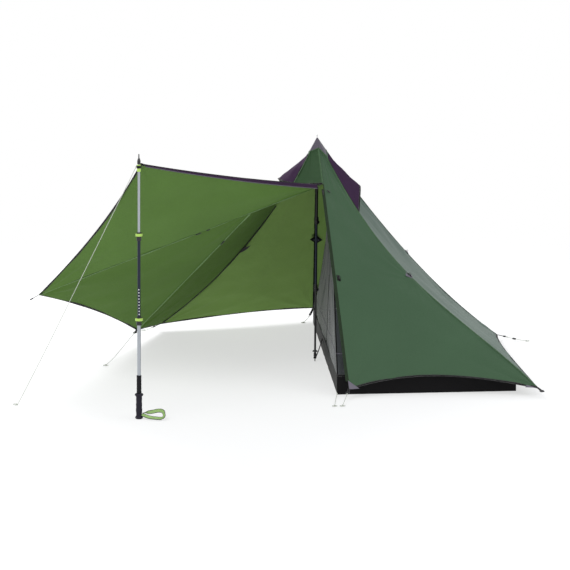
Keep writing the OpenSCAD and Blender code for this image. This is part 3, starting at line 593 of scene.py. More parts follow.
def zip_teeth(name):
    """Zip coil: a black tooth every two millimetres, and painted shade that darkens the gap between."""
    mat, t, out, co = fresh(name)
    xy = add(t, "ShaderNodeSeparateXYZ", {0: co.outputs["UV"]})
    wave = calc(t, "SINE", calc(t, "MULTIPLY", xy.outputs[0], 2 * math.pi / 0.002))
    n = bump(t, wave, 0.9, 0.0008)
    # The wave that shapes the teeth also sets the colour: painted shade in each gap
    bsdf = add(t, "ShaderNodeBsdfPrincipled",
               {"Base Color": shade(t, (0.02, 0.02, 0.023), wave, 0.6), "Roughness": 0.35,
               "Normal": n})
    t.links.new(bsdf.outputs[0], out.inputs[0])
    return mat


MATS = {}


def make_materials():
    c = colours()
    MATS.update({
        "near": ripstop_cloth("Ripstop polyester, shaded green", c.near, 0.08),
        # Painted shade: the same green cloth painted darker over the door
        "front": ripstop_cloth("Ripstop polyester, green painted darker in shade", c.front, 0.10),
        "roof": ripstop_cloth("Ripstop polyester, green in open light", tuple(v * 1.25 for v in c.near), 0.5,
                              lit="#cbd9b8"),
        "awning": ripstop_cloth("Ripstop polyester, green lit through", c.awning, 0.35, 0.8, creases=0.45,
                                shine=0.03),
        "awning_low": ripstop_cloth("Ripstop polyester, green in half shade",
                                    tuple(v * 0.86 for v in c.awning), 0.33, 0.8, creases=0.45, shine=0.03),
        # Painted light: the inside green is painted lighter, as if lit through
        "inside": ripstop_cloth("Ripstop polyester, inside green", c.inside, 0.42, 0.8, lit="#84986a",
                                shine=0.03),
        "strip": ripstop_cloth("Ripstop polyester, shaded strip", srgb("#486527"), 0.22, 0.8, shine=0.02),
        # Painted light: the green cloth painted paler for the grazing sheen on the back panel
        "back": ripstop_cloth("Ripstop polyester, green painted pale with grazing sheen", c.back, 0.10),
        "vents": ripstop_cloth("Coated polyester, purple", c.vents, 0.04, 0.8, 0.0, shine=0.02),
        "cap": ripstop_cloth("Thin grey polyester", c.cap, 0.35, 0.5, 0.3),
        "patch": ripstop_cloth("Reinforcing polyester, grey-purple", c.patch, 0.05, 0.6),
        "tape": woven_tape("Polyester binding tape, black", c.webbing, width=0.012),
        "strap": woven_tape("Polyester webbing, black", c.webbing, width=0.015),
        "seam": woven_tape("Felled seam, green thread", srgb("#3b563a"), "#6f8a68", 0.009),
        # Painted light: the seam's green painted pale, as if lit through, for the awning's underside
        "lit_seam": woven_tape("Felled seam, green painted pale as if lit through", srgb("#688854"), "#9ab584", 0.010),
        "lime_strap": woven_tape("Woven strap, lime with black edges", srgb("#93b46f"), "#b9cc98", 0.019,
                                 srgb("#2a3324")),
        "coil": zip_teeth("Zip coil, nylon"),
        "mesh": insect_mesh("Polyester insect mesh", c.mesh),
        "tub": coated_cloth("Coated nylon groundsheet", c.tub),
        "zip_tape": woven_tape("Zip tape, dark green", srgb("#22301f"), "#3c4a38", 0.012),
        "blue_patch": ripstop_cloth("Reinforcing polyester, dark blue", srgb("#2c3042"), 0.02, 0.7),
        "lining": ripstop_cloth("Reinforcing polyester, black", srgb("#0b0b0e"), 0.02, 0.8, shine=0.03),
        "cord": braided_cord("Braided polyester cord", c.cord),
        "black": plastic("Acetal plastic, black", srgb("#1a191c")),
        "lime": plastic("Nylon plastic, lime", c.lime, 0.3, 0.1),
        "grip": foam("Grip rubber", srgb("#211f29"), 420.0, 0.006),
        "foam": foam("Closed cell foam", srgb("#17171b"), 700.0),
        "silver": anodised("Anodised aluminium, silver", c.silver),
        "navy": anodised("Anodised aluminium, navy", c.navy, 0.6, 0.35, True),
        "steel": anodised("Brushed steel", srgb("#b5b6b8"), 1.0, 0.25),
    })


# ---- Pieces ----
def panel(ha, hb, t0, t1, curve):
    """A panel hangs between two hips: at every height a straight row from one hip to the other, with the
    hem cut up in a shallow curve 1 - curve 4 s (1 - s)."""
    t, s = grid(sizes().detail, int(sizes().detail * 0.8))
    tt = t0 + (t1 * (1 - curve * bow(s)) - t0) * t
    return mix(hip(ha, tt), hip(hb, tt), s)


def edge(mould, points, inward, w, t, slot=0):
    """Binding folded over an edge: a strip whose middle lies a little inside the edge."""
    side = unit(inward - points)
    mould.sweep(points + side * w * 0.32, side, w, t, slot)


def hang(name, points, out, outer, inner, nodes=(), edges=()):
    top = points + normals(points, out) * CLOTH_LIFT
    piece = Mould().sheet(top, out, 0).make(name, [MATS[outer], MATS[inner]], thick=sizes().cloth, inner=1)
    bind = Mould()
    b = sizes().binding * 1000
    for e in edges:
        if e == "hem":
            edge(bind, top[-1], top[-4], b, 3.4)
        elif e == "first":
            edge(bind, top[:, 0], top[:, 3], b, 3.4)
        elif e == "zip":
            edge(bind, top[:, 0], top[:, 3], b * 0.5, 2.6, 1)
        elif e == "last":
            edge(bind, top[:, -1], top[:, -4], b, 3.4)
    extra = []
    if edges:
        extra = [bind.make(name + "_binding", [MATS["tape"], MATS["zip_tape"]])]
    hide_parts(*nodes)
    return top


PULLS = ((0, 1, 5, 17), (1, 1, 5, 19), (0.5, 0, 3, 24))
NEAR_PULLS = ((0, 1, 4, 17), (1, 1, 4, 19), (0.98, 0.45, 1.2, 15), (0.5, 0, 2, 24))
# The fly's panels: node, left and right hip, share of the hem's curve, which way it faces, seed of its long
# waves, sag, the creases that pull at its corners, outer cloth, flat size and bound edges
FLY = (
    ("near_panel", HIP_NL, HIP_NR, 1, (0.05, -0.75, 0.65), 11, 9, NEAR_PULLS, "near", (1.0, 1.66),
     ("hem", "zip")),
    ("back_panel", HIP_NR, HIP_FR, 1, (0.7, 0.02, 0.7), 12, 9, PULLS, "back", (1.64, 1.58), ("hem",)),
    ("far_panel", HIP_FR, HIP_FL, 1, (0.5, 0.7, 0.6), 13, 9, PULLS, "roof", (1.34, 1.72), ("hem",)),
    ("far_front_panel", HIP_FL, HIP_PF, 0.4, (-0.45, 0.45, 0.77), 14, 8, PULLS, "roof", (1.07, 1.80),
     ("hem",)),
)


def build_fly():
    for node, ha, hb, share, out, seed, sag, fans, outer, flat, edges in FLY:
        shape = cloth(panel(ha, hb, CAP_FROM, 1, HEM_CURVE * share), out, seed, sag, fans)
        hang("fly_" + node, shape, out, outer, "inside", nodes=[node], edges=edges)
    build_front_top()
    build_hip_seams()


def build_front_top():
    """The small panel over the door, from the near left hip over the awning's hip to the far porch hip."""
    t, s = grid(90, 120)
    ta, tb, tc = (CAP_FROM + (e - CAP_FROM) * t for e in (DOOR_T - 0.001, DOOR_T_FRONT, STRIP_T - 0.001))
    a, b, c = hip(HIP_NL, ta), hip(HIP_PN, tb), hip(HIP_PF, tc)
    top = np.where((s <= 0.5)[..., None], mix(a, b, np.minimum(2 * s, 1)),
                   mix(b, c, np.maximum(2 * s - 1, 0)))
    top = cloth(top, (-0.75, -0.25, 0.6), 15, 3, ((0, 1, 2, 15), (0.5, 0, 2, 20)), waves=0.4)
    hang("fly_front_top", top, (-0.75, -0.25, 0.6), "front", "inside",
         nodes=["front_top_panel"], edges=("hem",))


def build_hip_seams():
    """A felled seam down each hip."""
    seams = Mould()
    w = sizes().seam * 1000
    for h, out, lo, hi in ((HIP_NR, (0.4, -0.55, 0.7), CAP_FROM, 0.995),
                           (HIP_FR, (0.7, 0.35, 0.6), CAP_FROM, 0.995),
                           (HIP_FL, (-0.1, 0.8, 0.6), CAP_FROM, 0.995),
                           (HIP_NL, (-0.5, -0.5, 0.7), CAP_FROM, DOOR_T),
                           (HIP_PN, (-0.75, -0.25, 0.6), CAP_FROM, DOOR_T_FRONT),
                           (HIP_PF, (-0.6, 0.2, 0.75), CAP_FROM, STRIP_T)):
        line = hip(h, np.linspace(lo, hi, 160)) + unit(out) * 2.2
        seams.sweep(line, np.cross(np.gradient(line, axis=0), out), w, 1.6)
    seams.make("hip_seams", [MATS["seam"]])


def awning_parts():
    j = hip(HIP_NL, DOOR_T) + np.array([-1.2, -1.5, -1.5])
    return j, hip(HIP_PF, STRIP_T), mix(j, AWNING_A, np.array(0.26))


def build_awning():
    out = (-0.45, 0.45, 0.77)
    j, k, st = awning_parts()
    n = sizes().detail
    t, s = grid(n, int(n * 0.8))
    u = 0.012 + (1 - 0.035 * bow(s) - 0.012) * t
    ridge = mix(j, AWNING_P, u) - np.stack([0 * u, 0 * u, RIDGE_SAG * bow(u)], -1)
    near = cloth(mix(ridge, mix(j, AWNING_A, u), s), out, 21, 10,
                 ((0, 1, 5, 15), (1, 1, 5, 17), (0.5, 0, 4, 13)), pucker=(1, 0.8, 0, 1))
    top_near = hang("awning_near_cloth", near, out, "roof", "awning",
                    nodes=["awning_near"], edges=("hem", "first"))
    u = 0.008 + (1 - 0.03 * bow(s) - 0.008) * t
    mid = cloth(mix(mix(st, AWNING_A, u), mix(st, AWNING_B, u), s), out, 22, 8,
                ((0, 1, 5, 15), (1, 1, 6, 17), (0.5, 0, 3, 15)), pucker=(0.8, 1, 0, 1))
    top_mid = hang("awning_mid_cloth", mid, out, "roof", "awning_low",
                   nodes=["awning_mid"], edges=("hem",))
    cut = 3 / 11
    lo, hi = np.minimum(t / cut, 1), np.maximum((t - cut) / (1 - cut), 0)
    head, body = 0.04 + 0.96 * lo, (t > cut)[..., None]
    fold = np.where(body, mix(st, AWNING_B, hi), mix(j, st, head))
    zipl = np.where(body, hip(HIP_PF, STRIP_T + (1 - STRIP_T) * hi), mix(j, k, head))
    strip = cloth(mix(fold, zipl, s), out, 23, 3, ((0, 1, 4, 13), (1, 1, 4, 14)), pucker=(1, 1, 0, 1),
                  waves=0.8)
    hang("awning_strip_cloth", strip, out, "roof", "strip",
         nodes=["awning_strip"], edges=("hem",))
    seams = Mould()
    # Under the awning the seams take the lit_seam copy, painted pale as if lit through; on top they take the
    # plain seam
    for line, side in ((top_near[:, -1], top_near[:, -4]), (top_mid[:, -1], top_mid[:, -4])):
        d = unit(side - line)
        under = unit(np.array([0.45, -0.45, -0.77]))
        seams.sweep(line + under * 2.6, d, 10, 1.8)
        seams.sweep(line - under * 0.8, d, 10, 1.6, 1)
    seams.make("awning_seams", [MATS["lit_seam"], MATS["seam"]])
    build_far_porch_zip()


def build_far_porch_zip():
    """Zip down the far porch edge, on its tape, with a small guard."""
    zp = hip(HIP_PF, np.linspace(STRIP_T + 0.01, 0.985, 260))
    out_z = unit((-0.45, 0.1, 0.8))
    side = np.cross(np.gradient(zp, axis=0), out_z)
    zips = Mould()
    zips.sweep(zp - out_z * 1.6, side, 24, 1.2, 0)
    zips.sweep(zp - out_z * 3.2, side, 5, 2.6, 1)
    zips.sweep(zp + out_z * 2.6, side, 20, 1.2, 0)
    # A small cloth guard covers the zip where it begins to close
    d = unit(hip(HIP_PF, 0.46) - hip(HIP_PF, 0.42))
    across = unit(hip(HIP_FL, 0.44) - hip(HIP_PF, 0.44))
    into = unit(np.cross(d, across))
    into = into if into @ np.array([0.45, -0.45, -0.77]) > 0 else -into
    u, v = grid(20, 20)
    guard = (hip(HIP_PF, PORCH_ZIP_GUARD_T) + d * ((u - 0.5) * 62 * (1 - 0.35 * v))[..., None]
             + across * (v * 58 - 16)[..., None]
             + into * (6.5 + 3 * np.sin(3.1 * v) - 1.5 * u)[..., None])
    zips.sheet(guard, into, 2)
    zips.make("far_porch_zip", [MATS["tape"], MATS["coil"], MATS["tub"]])


def build_free_edge():
    """Band under the awning's free edge: deepest at the tent, narrow at the pole."""
    j = awning_parts()[0]
    t, s = grid(120, 8)
    u = 0.035 + 0.945 * t
    p = mix(j, AWNING_P, u) - np.stack([0 * u, 0 * u, RIDGE_SAG * bow(u)], -1) + np.array([0.3, -0.6, -0.4])
    drop = np.array([0.06, -0.05, -1]) * 22
    p = p + drop * ((0.35 + 0.65 * (1 - t)) * s)[..., None]
    p = p + np.array([0.7, -0.7, 0]) * (1.1 * np.sin(u * 70 + 1.5 * np.sin(u * 23)) * s * s)[..., None]
    ob = Mould().sheet(p, (0.3, -0.9, 0)).make("free_edge_band", [MATS["vents"], MATS["cap"]], thick=0.0012,
                                               inner=0)
    lip = Mould()
    lip.sweep(p[:, -1], (0, 0, 1), 4.5, 2.2, 0)
    lip = lip.make("free_edge_lip", [MATS["cap"]])
    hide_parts("ridge_band")


def build_peak():
    """The cap is a cone of thin cloth over six hips: rings between the hip lines, drawn in below the tip."""
    hips = (HIP_NL, HIP_NR, HIP_FR, HIP_FL, HIP_PF, HIP_PN)
    rows = []
    for t in np.linspace(0.02, 1, 26):
        ring = []
        for h in hips:
            p = hip(h, CAP_FROM * 1.15 * t)
            r = np.linalg.norm(p[:2]) + 1e-6
            ring.append([p[0] * (r + 3.6) / r, p[1] * (r + 3.6) / r, p[2] + 3.4])
        ring = np.array(ring + ring[:1])
        run = np.linspace(0, 6, 97)[:-1]
        k = run.astype(int)
        f = run - k
        line = mix(ring[k], ring[k + 1], f)
        line[:, 2] += 0.5 * np.sin(run * 9) * t
        rows.append(line)
    p = np.array(rows)
    cap = Mould().sheet(p, None, around=True)
    ob = cap.make("peak_cap_cloth", [MATS["cap"], MATS["cap"]], thick=0.0011)
    face_out(ob)
    tape = Mould().sweep(np.vstack([p[-1], p[-1][:2]]), (0, 0, 1), 7, 2.4)
    tape = tape.make("peak_cap_binding", [MATS["seam"]])
    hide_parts("peak_cap")


def face_out(ob):
    """Turns a shell's faces outward from its middle."""
    me = ob.data
    n = len(me.polygons)
    c, d = np.empty(n * 3), np.empty(n * 3)
    me.polygons.foreach_get("center", c)
    me.polygons.foreach_get("normal", d)
    c, d = c.reshape(-1, 3), d.reshape(-1, 3)
    if ((c - c.mean(0)) * d).sum() < 0:
        me.flip_normals()


def vent(name, node, ha, hb, ta, tb, tm, push, seed):
    """A hood leaves its panel along two hips and bows out to a stiff brim: the push grows as u^1.2 down
    the hood and as 4 s (1 - s) across it."""
    u, s = grid(70, 90)
    ends = ta + (tb - ta) * s
    low = ends + (tm - ends) * bow(s)
    start = CAP_FROM * 1.32
    t = start + (low - start) * u
    push = np.asarray(push, float)
    p = (mix(hip(ha, t), hip(hb, t), 0.02 + 0.96 * s) + 2.6 * unit(push)
         + push * (0.97 * bow(s) * u ** 1.2)[..., None])
    p = cloth(p, push, seed, -3, ((0, 1, 2, 11), (1, 1, 2, 12), (0.5, 0, 1.5, 16)), waves=0.3,
              pucker=(0.6, 0.6, 0, 0.8))
    top = p + normals(p, push) * CLOTH_LIFT
    ob = Mould().sheet(top, push).make(name, [MATS["vents"], MATS["vents"]], thick=0.0011)
    brim = Mould()
    edge(brim, top[-1], top[-5], 8, 3.6)
    edge(brim, top[:, 0], top[:, 3], 6, 2.4)
    edge(brim, top[:, -1], top[:, -4], 6, 2.4)
    brim = brim.make(name + "_brim", [MATS["tape"]])
    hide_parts(node)


def build_vents():
    vent("back_vent_cloth", "back_vent_hood", HIP_NR, HIP_FR, 0.202, 0.2, 0.165,
         64.6 * unit((0.93, 0.05, 0.37)), 31)
    vent("front_vent_cloth", "front_vent_hood", HIP_PN, HIP_PF, 0.15, 0.19, 0.16,
         85 * unit((-0.88, -0.02, 0.47)), 32)


TABS = ((NEAR_LEFT, (-50, -190, -32), (1, -0.2, 0)), (NEAR_RIGHT, (60, -190, -32), (1, 0.2, 0)),
        (FAR_RIGHT, (150, -60, -22), (0.3, 1, 0)), (FAR_LEFT, (-40, -20, -70), (1, -0.5, 0)),
        (PORCH_FAR, (-105, 2, -40), (0, 1, 0)), (AWNING_B, (-156, -656, -90), (1, -0.2, 0)),
        (AWNING_A, (-300, 20, -160), (0, 1, 0)))


def build_trim():
    build_corner_straps()
    build_corner_patches()
    build_hip_diamonds()
    build_inside_patch()
    build_door_tab()
    build_foot_strap()


def build_corner_straps():
    """Webbing at the staked corners, and the loop that holds the awning on the porch pole's collar."""
    straps = Mould()
    for corner, aim, side in TABS:
        d = unit(aim)
        c = np.asarray(corner, float)
        u = np.linspace(0, 1, 24)[:, None]
        straps.sweep(c - d * 26 + d * 66 * u + np.array([0, 0, 1.2]) * np.sin(u * 3.1), side, 15, 1.6)
        straps.sweep(c + d * 39 + d * 16 * u + np.array([0, 0, 1.7]), side, 14.2, 1.4)
    # The loop that holds the awning on the porch pole's collar
    a, b = AWNING_P + np.array([12.0, 12, -6]), np.array([-973.8, -1487.0, 1251])
    straps.sweep(dense([a, AWNING_P, AWNING_P + np.array([-3.5, -2.6, -6]), b + np.array([7.5, 5.5, 2])],
                       30), (0.2, -0.3, 1), 12, 1.6)
    u = np.linspace(0, 2 * math.pi, 50)[:, None]
    straps.sweep(b + np.cos(u) * np.array([10.4, 0, 0]) + np.sin(u) * np.array([0, 10.4, 0]), (0, 0, 1), 13,
                 1.6)
    ob = straps.make("corner_straps", [MATS["strap"]])
    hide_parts("corner_webbing")


def build_corner_patches():
    """Reinforcing patches at the two near corners."""
    cloths = Mould()
    for corner, ha, other, size, out in ((NEAR_LEFT, HIP_NL, (900, -4, 60), 50, (0.05, -0.75, 0.65)),
                                         (NEAR_RIGHT, HIP_NR, (-900, 4, 40), 62, (0.05, -0.75, 0.65))):
        c = np.asarray(corner, float)
        a = unit(hip(ha, 0.7) - c)
        b = unit(other)
        t, s = grid(12, 12)
        p = c + mix(a, b, s) * (4 + size * t)[..., None] + unit(out) * 3.0
        cloths.sheet(p, out)
    ob = cloths.make("corner_patch_cloth", [MATS["patch"], MATS["patch"]], thick=0.0008)
    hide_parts("corner_patches")


def build_hip_diamonds():
    """A diamond patch half way down three hips, each with a loop and a ring for a guyline."""
    diam = Mould()
    rings = Mould()
    for h, t0, out, size in ((HIP_NR, 0.44, (0.45, -0.3, 0.84), 62), (HIP_FR, 0.475, (0.75, 0.3, 0.6), 50),
                             (HIP_FL, 0.53, (-0.2, 0.75, 0.62), 62)):
        d = unit(hip(h, t0 + 0.03) - hip(h, t0 - 0.03))
        o = unit(np.asarray(out) - d * (np.asarray(out) @ d))
        side = unit(np.cross(o, d))
        u, v = grid(14, 14)
        a, b = (u + v - 1) * size / 2, (v - u) * size / 2
        p = hip(h, t0) + d * a[..., None] + side * b[..., None] + o * (3.4 - np.abs(b) * 0.12)[..., None]
        diam.sheet(p, o)
        c = hip(h, t0) + o * 10.4
        rings.ring(c, side, 6, 2.4, 1)
        rings.sweep(dense([hip(h, t0) - d * 16 + o * 4.6, hip(h, t0) - d * 4 + o * 6, c - o * 4.4,
                           hip(h, t0) + d * 4 + o * 6,
                           hip(h, t0) + d * 16 + o * 4.6], 40), side, 12, 1.4, 0)
    ob = diam.make("hip_patch_cloth", [MATS["patch"], MATS["patch"]], thick=0.0008)
    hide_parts("mid_hip_patches")
    rings.make("hip_patch_rings", [MATS["strap"], MATS["black"]])


def build_inside_patch():
    """The far left hip's inside: a black diamond with a blue middle, folded over the hip, and its seam."""
    inner = Mould()
    u, v = grid(26, 26)
    t0, size = INNER_DIAMOND
    a, b = (u + v - 1) * size / 2, (v - u) * size / 2
    d = unit(hip(HIP_FL, t0 + 0.03) - hip(HIP_FL, t0 - 0.03))
    far = unit(np.cross(d, np.cross(hip(HIP_FR, t0) - hip(HIP_FL, t0), d)))
    front = unit(np.cross(d, np.cross(hip(HIP_PF, t0) - hip(HIP_FL, t0), d)))
    into = unit(far + front)
    p = (hip(HIP_FL, t0) + d * a[..., None]
         + np.where((b < 0)[..., None], far, front) * np.abs(b)[..., None] + into * 3.0)
    p = p + into * 8 - d * (0.6 * np.abs(b))[..., None] + np.array([8.0, 0, 0])
    inner.sheet(p, into)
    inner.sheet(p.mean((0, 1)) + (p - p.mean((0, 1))) * 0.5 + into * 3, into, 1)
    line = hip(HIP_FL, np.linspace(DOOR_T, 0.99, 140)) + into * 4.0
    inner.sweep(line, far - front, 13, 1.4)
    inner.make("inside_hip_patch", [MATS["lining"], MATS["blue_patch"]])


def build_door_tab():
    """A small tab on the near panel's edge for the rolled door."""
    u, v = grid(12, 12)
    d = unit(hip(HIP_NL, 0.6) - hip(HIP_NL, 0.55))
    across = unit(hip(HIP_NR, DOOR_TAB_T) - hip(HIP_NL, DOOR_TAB_T))
    o = unit(np.cross(across, d))
    o = o if o @ np.array([0.05, -0.75, 0.65]) > 0 else -o
    tab = mix(hip(HIP_NL, DOOR_TAB_T), hip(HIP_NR, DOOR_TAB_T), 0.036)
    tab = (tab + across * ((u - 0.5) * 19)[..., None] + d * ((v - 0.5) * 36)[..., None]
           + o * (2.3 + 0.4 * bow(v))[..., None])
    Mould().sheet(tab, o).make("door_tie_tab", [MATS["strap"], MATS["strap"]], thick=0.0012)


def build_foot_strap():
    """The strap from the centre pole's foot to the groundsheet's wall."""
    foot = Mould()
    share = (FOOT_STRAP_Y - FLOOR[0][1]) / (FLOOR[3][1] - FLOOR[0][1])
    wall = FLOOR[0] + (FLOOR[3] - FLOOR[0]) * share
    end = np.array([wall[0] - 3.2, FOOT_STRAP_Y, 72])
    c = CENTRE_FOOT + CENTRE_DIR * 22
    x = unit(np.cross(CENTRE_DIR, (0, 1, 0.2)))
    y = np.cross(CENTRE_DIR, x)
    foot.sweep(c + np.cos(u_ring()) * x * 7.8 + np.sin(u_ring()) * y * 7.8, CENTRE_DIR, 9.5, 1.4)
    line = mix(c + np.array([5.5, 6.0, 2]), end, np.linspace(0, 1, 50))
    foot.sweep(line - np.array([0, 0, 7]) * bow(np.linspace(0, 1, 50))[:, None], (0, 0.3, 1), 12, 1.4)
    ob = foot.make("pole_foot_strap", [MATS["strap"]])
    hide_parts("foot_strap")


def u_ring():
    return np.linspace(0, 2 * math.pi, 50)[:, None]


def build_zips():
    """Door zip on the near panel's free edge, and the inner tent's door zip up its front wall."""
    out = unit((0.05, -0.75, 0.65))
    a, b = hip(HIP_NL, DOOR_T + 0.02) - (6.3, 0, 0), hip(HIP_NL, 0.97) - (6.3, 0, 0)
    line = mix(a, b, np.linspace(0, 1, 240)) + out * 0.6
    z = Mould()
    z.sweep(line, (1, 0, 0), 12, 1.3, 0)
    z.sweep(line - np.array([3.4, 0, 0]) - out * 1.6, (1, 0, 0), 4.2, 2.0, 1)
    ob = z.make("door_zip", [MATS["zip_tape"], MATS["coil"]])
    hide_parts("door_zip_tape")
    t = np.linspace(1, 0.45, 120)
    p = mix(wall_hip(FLOOR[0], 0.4, t), wall_hip(FLOOR[3], 0.4, t), np.full(120, 0.4)) - np.array([1.9, 0, 0])
    z = Mould()
    z.sweep(p, (0, 1, 0), 13, 1.1, 0)
    z.sweep(p - np.array([0.9, 0, 0]), (0, 1, 0), 3.4, 1.0, 1)
    ob = z.make("inner_zip", [MATS["tape"], MATS["coil"]])
    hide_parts("inner_zip_tape")


def wall_hip(c, k, t):
    t = np.asarray(t, float)
    f = fall(k, 0, t)
    return np.stack([INNER_PEAK[0] + (c[0] - INNER_PEAK[0]) * t, INNER_PEAK[1] + (c[1] - INNER_PEAK[1]) * t,
                     INNER_PEAK[2] - (INNER_PEAK[2] - TUB_H - 0.5) * f], -1)


def build_inner():
    """Mesh walls hang from the inner peak to the groundsheet's wall: straight rows between hips that drop
    as fall(t), with shallow folds. The groundsheet is one sheet: wall, turned edge and floor in rings."""
    ks = (0.4, 0.6, 0.6, 0.4)
    walls = Mould()
    seams = Mould()
    for i in range(4):
        a, b = FLOOR[i], FLOOR[(i + 1) % 4]
        d = unit(b - a)
        out = np.array([d[1], -d[0], 0.4])
        t, s = grid(110, 90)
        tt = 0.02 + 0.98 * t
        p = mix(wall_hip(a, ks[i], tt), wall_hip(b, ks[(i + 1) % 4], tt), s)
        p = cloth(p, out, 41 + i, 6, ((0, 1, 4, 11), (1, 1, 4, 12), (0.5, 0, 4, 20)), waves=1.2)
        # The mesh hangs a little full, in folds that run from the peak down to the wall
        fold = 3.6 * np.sin(2 * math.pi * (6.5 * s
                + 0.3 * np.sin(5 * s + i))) + 1.6 * np.sin(2 * math.pi * 15 * s + i)
        still = 1 - np.exp(-((s - 0.6) / 0.05) ** 2) if i == 3 else 1.0
        p = p + unit(out) * ((fold * np.minimum(1, 5 * bow(s)) - 1.5) * bow(t) * still)[..., None]
        walls.sheet(p + unit(out) * 0.8, out)
        line = p[:, 0] + unit(out) * 0.8
        seams.sweep(line, unit(p[:, 1] - p[:, 0]), 7, 1.6, 0)
        base = p[-1] + unit(out) * 1.2
        seams.sweep(base + np.array([0, 0, 2.0]), (0, 0, 1), 12, 2.2, 0)
        band = p[92] + unit(out) * 1.0
        seams.sweep(band, (0, 0, 1), 7, 1.4, 1)
    ob = walls.make("inner_mesh", [MATS["mesh"], MATS["mesh"]], thick=0.0006)
    seams = seams.make("inner_mesh_seams", [MATS["tape"], MATS["patch"]])
    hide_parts("mesh_walls")
    corners = FLOOR + FLOOR[:1]
    ring = []
    for i in range(4):
        u = np.linspace(0, 1, 61)[:-1]
        ring.append(mix(corners[i], corners[i + 1], u))
    ring = np.vstack(ring)
    mid = ring.mean(0)
    away = unit(ring - mid)
    run = np.linspace(0, 2 * math.pi, len(ring), endpoint=False)
    rows = []
    for z in np.linspace(TUB_H + 2, 2.0, 16):
        ripple = 1.1 * np.sin(run * 37 + z / 19) + 0.8 * np.sin(run * 61 - z / 31)
        rows.append(ring + away * (0.6 + ripple * 0.6)[:, None] * (1 if z < TUB_H else 0.6)
                    + np.array([0, 0, z]))
    for k in np.linspace(0.995, 0.01, 60):
        p = mid + (ring - mid) * k
        p[:, 2] = 1.3 + 0.5 * np.sin(run * 9 + k * 40) * k * (1 - k) * 4 + 0.35
        rows.append(p)
    p = np.array(rows)
    ob = Mould().sheet(p, None, around=True).make("groundsheet_cloth", [MATS["tub"], MATS["tub"]],
                                                  thick=0.0012)
    ob.modifiers[0].offset = 1
    face_out(ob)
    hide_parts("tub_walls", "tub_floor")


def build_cords():
    """Each guyline is one open curve, with a wound knot and a loop for its peg at the end."""
    d = sizes().cord
    for name, route in GUYS.items():
        pts = np.array(route)
        n = 60 if len(pts) > 3 else 24
        path = dense(pts, n)
        curve = bpy.data.curves.new("cord_" + name, "CURVE")
        curve.dimensions = "3D"
        curve.bevel_depth = d / 2
        curve.bevel_resolution = 3
        curve.use_fill_caps = True
        spline = curve.splines.new("POLY")
        spline.points.add(n - 1)
        spline.points.foreach_set("co", np.hstack([path, np.ones((n, 1))]).ravel())
        ob = bpy.data.objects.new("cord_" + name, curve)
        bpy.context.scene.collection.objects.link(ob)
        curve.materials.append(MATS["cord"])
        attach(ob, ROOT)
        end, last = pts[-1] * 1000, (pts[-1] - pts[-2]) * 1000
        flat = unit(np.array([last[0], last[1], 0]))
        loop = Mould()
        loop.ring(np.array([end[0], end[1], 5.0]) + flat * 13.9, (0, 0, 1), 12, 3)
        loop.knot(np.array([end[0], end[1], 6.0]) + flat * 5.2, flat, 2.6)
        tail = np.array([end[0], end[1], 3.6])
        beside = np.array([-flat[1], flat[0], 0])
        loop.sweep(dense([tail, tail + flat * 1 + beside * 6, tail + flat * 3.5 + beside * 15], 14),
                   (0, 0, 1), 2.8, 2.8, shape="round")
        # A turn of cord round what the guyline is tied to
        start, first = pts[0] * 1000, (pts[0] - pts[1]) * 1000
        loop.knot(start - unit(first) * 8, first, 2.6)
        loop = loop.make("peg_loop_" + name, [MATS["cord"]])
        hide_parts("guy_" + name)
    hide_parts("guy_loops")


STRAP = ((-974, -1491, 22), (-957, -1500, 17), (-935, -1512, 12), (-905, -1522, 10), (-880, -1528, 10),
         (-866, -1522, 16), (-865, -1508, 30), (-874, -1498, 40), (-895, -1490, 40), (-925, -1488, 34),
         (-955, -1487, 30), (-972, -1486, 28))


def build_wrist_strap():
    """The wrist strap is a woven band, lime on one face and black on the other. It lies nearly flat on its
    way out, and stands on edge on its way back."""
    p = dense(STRAP, 160)
    u = np.linspace(0, 1, 160)[:, None]
    d = unit(np.gradient(p, axis=0))
    turn = -0.9 - 1.95 * (0.5 + 0.5 * np.tanh((u - 0.47) * 18)) - 1.6 * (0.5 + 0.5 * np.tanh((u - 0.9) * 22))
    flat = np.cos(turn) * np.array([0, 0, 1.0]) + np.sin(turn) * np.cross(d, (0, 0, 1))
    band = Mould().sweep(p, flat, 19, 1.0, 0, 0.5).sweep(p, flat, 19.4, 1.0, 1, -0.5)
    ob = band.make("wrist_strap", [MATS["lime_strap"], MATS["strap"]], body="porch_upper")
    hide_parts("porch_wrist_strap")


FINISH = {"peak_pin": "steel", "corner_buckles": "black", "toggles": "black", "door_zip_slider": "black",
          "inner_zip_slider": "black", "porch_collar": "lime", "centre_basket": "black", "guy_lock": "black"}
POLE = {"grip": "grip", "foam_sleeve": "foam", "upper_tube": "silver", "upper_lock": "black",
        "upper_lever": "lime",
        "mid_tube": "navy", "lower_lock": "black", "lower_lever": "lime", "tip_tube": "silver",
        "tip": "black"}


def finish_frame():
    """The poles and the small hard parts are the frame's own pieces, given their finishes; the centre pole's
    tubes and levers are painted black for the shade inside the tent.
    """
    names = dict(FINISH)
    for pole in ("porch", "centre"):
        for part, mat in POLE.items():
            names[pole + "_" + part] = mat
    # Painted shade: the centre pole stands in the tent's shade, so its silver tubes and lime levers get the
    # black plastic
    for part in ("centre_upper_tube", "centre_tip_tube", "centre_upper_lever", "centre_lower_lever"):
        names[part] = "black"
    for name, mat in names.items():
        me = NODES[name].data
        me.materials.clear()
        me.materials.append(MATS[mat])


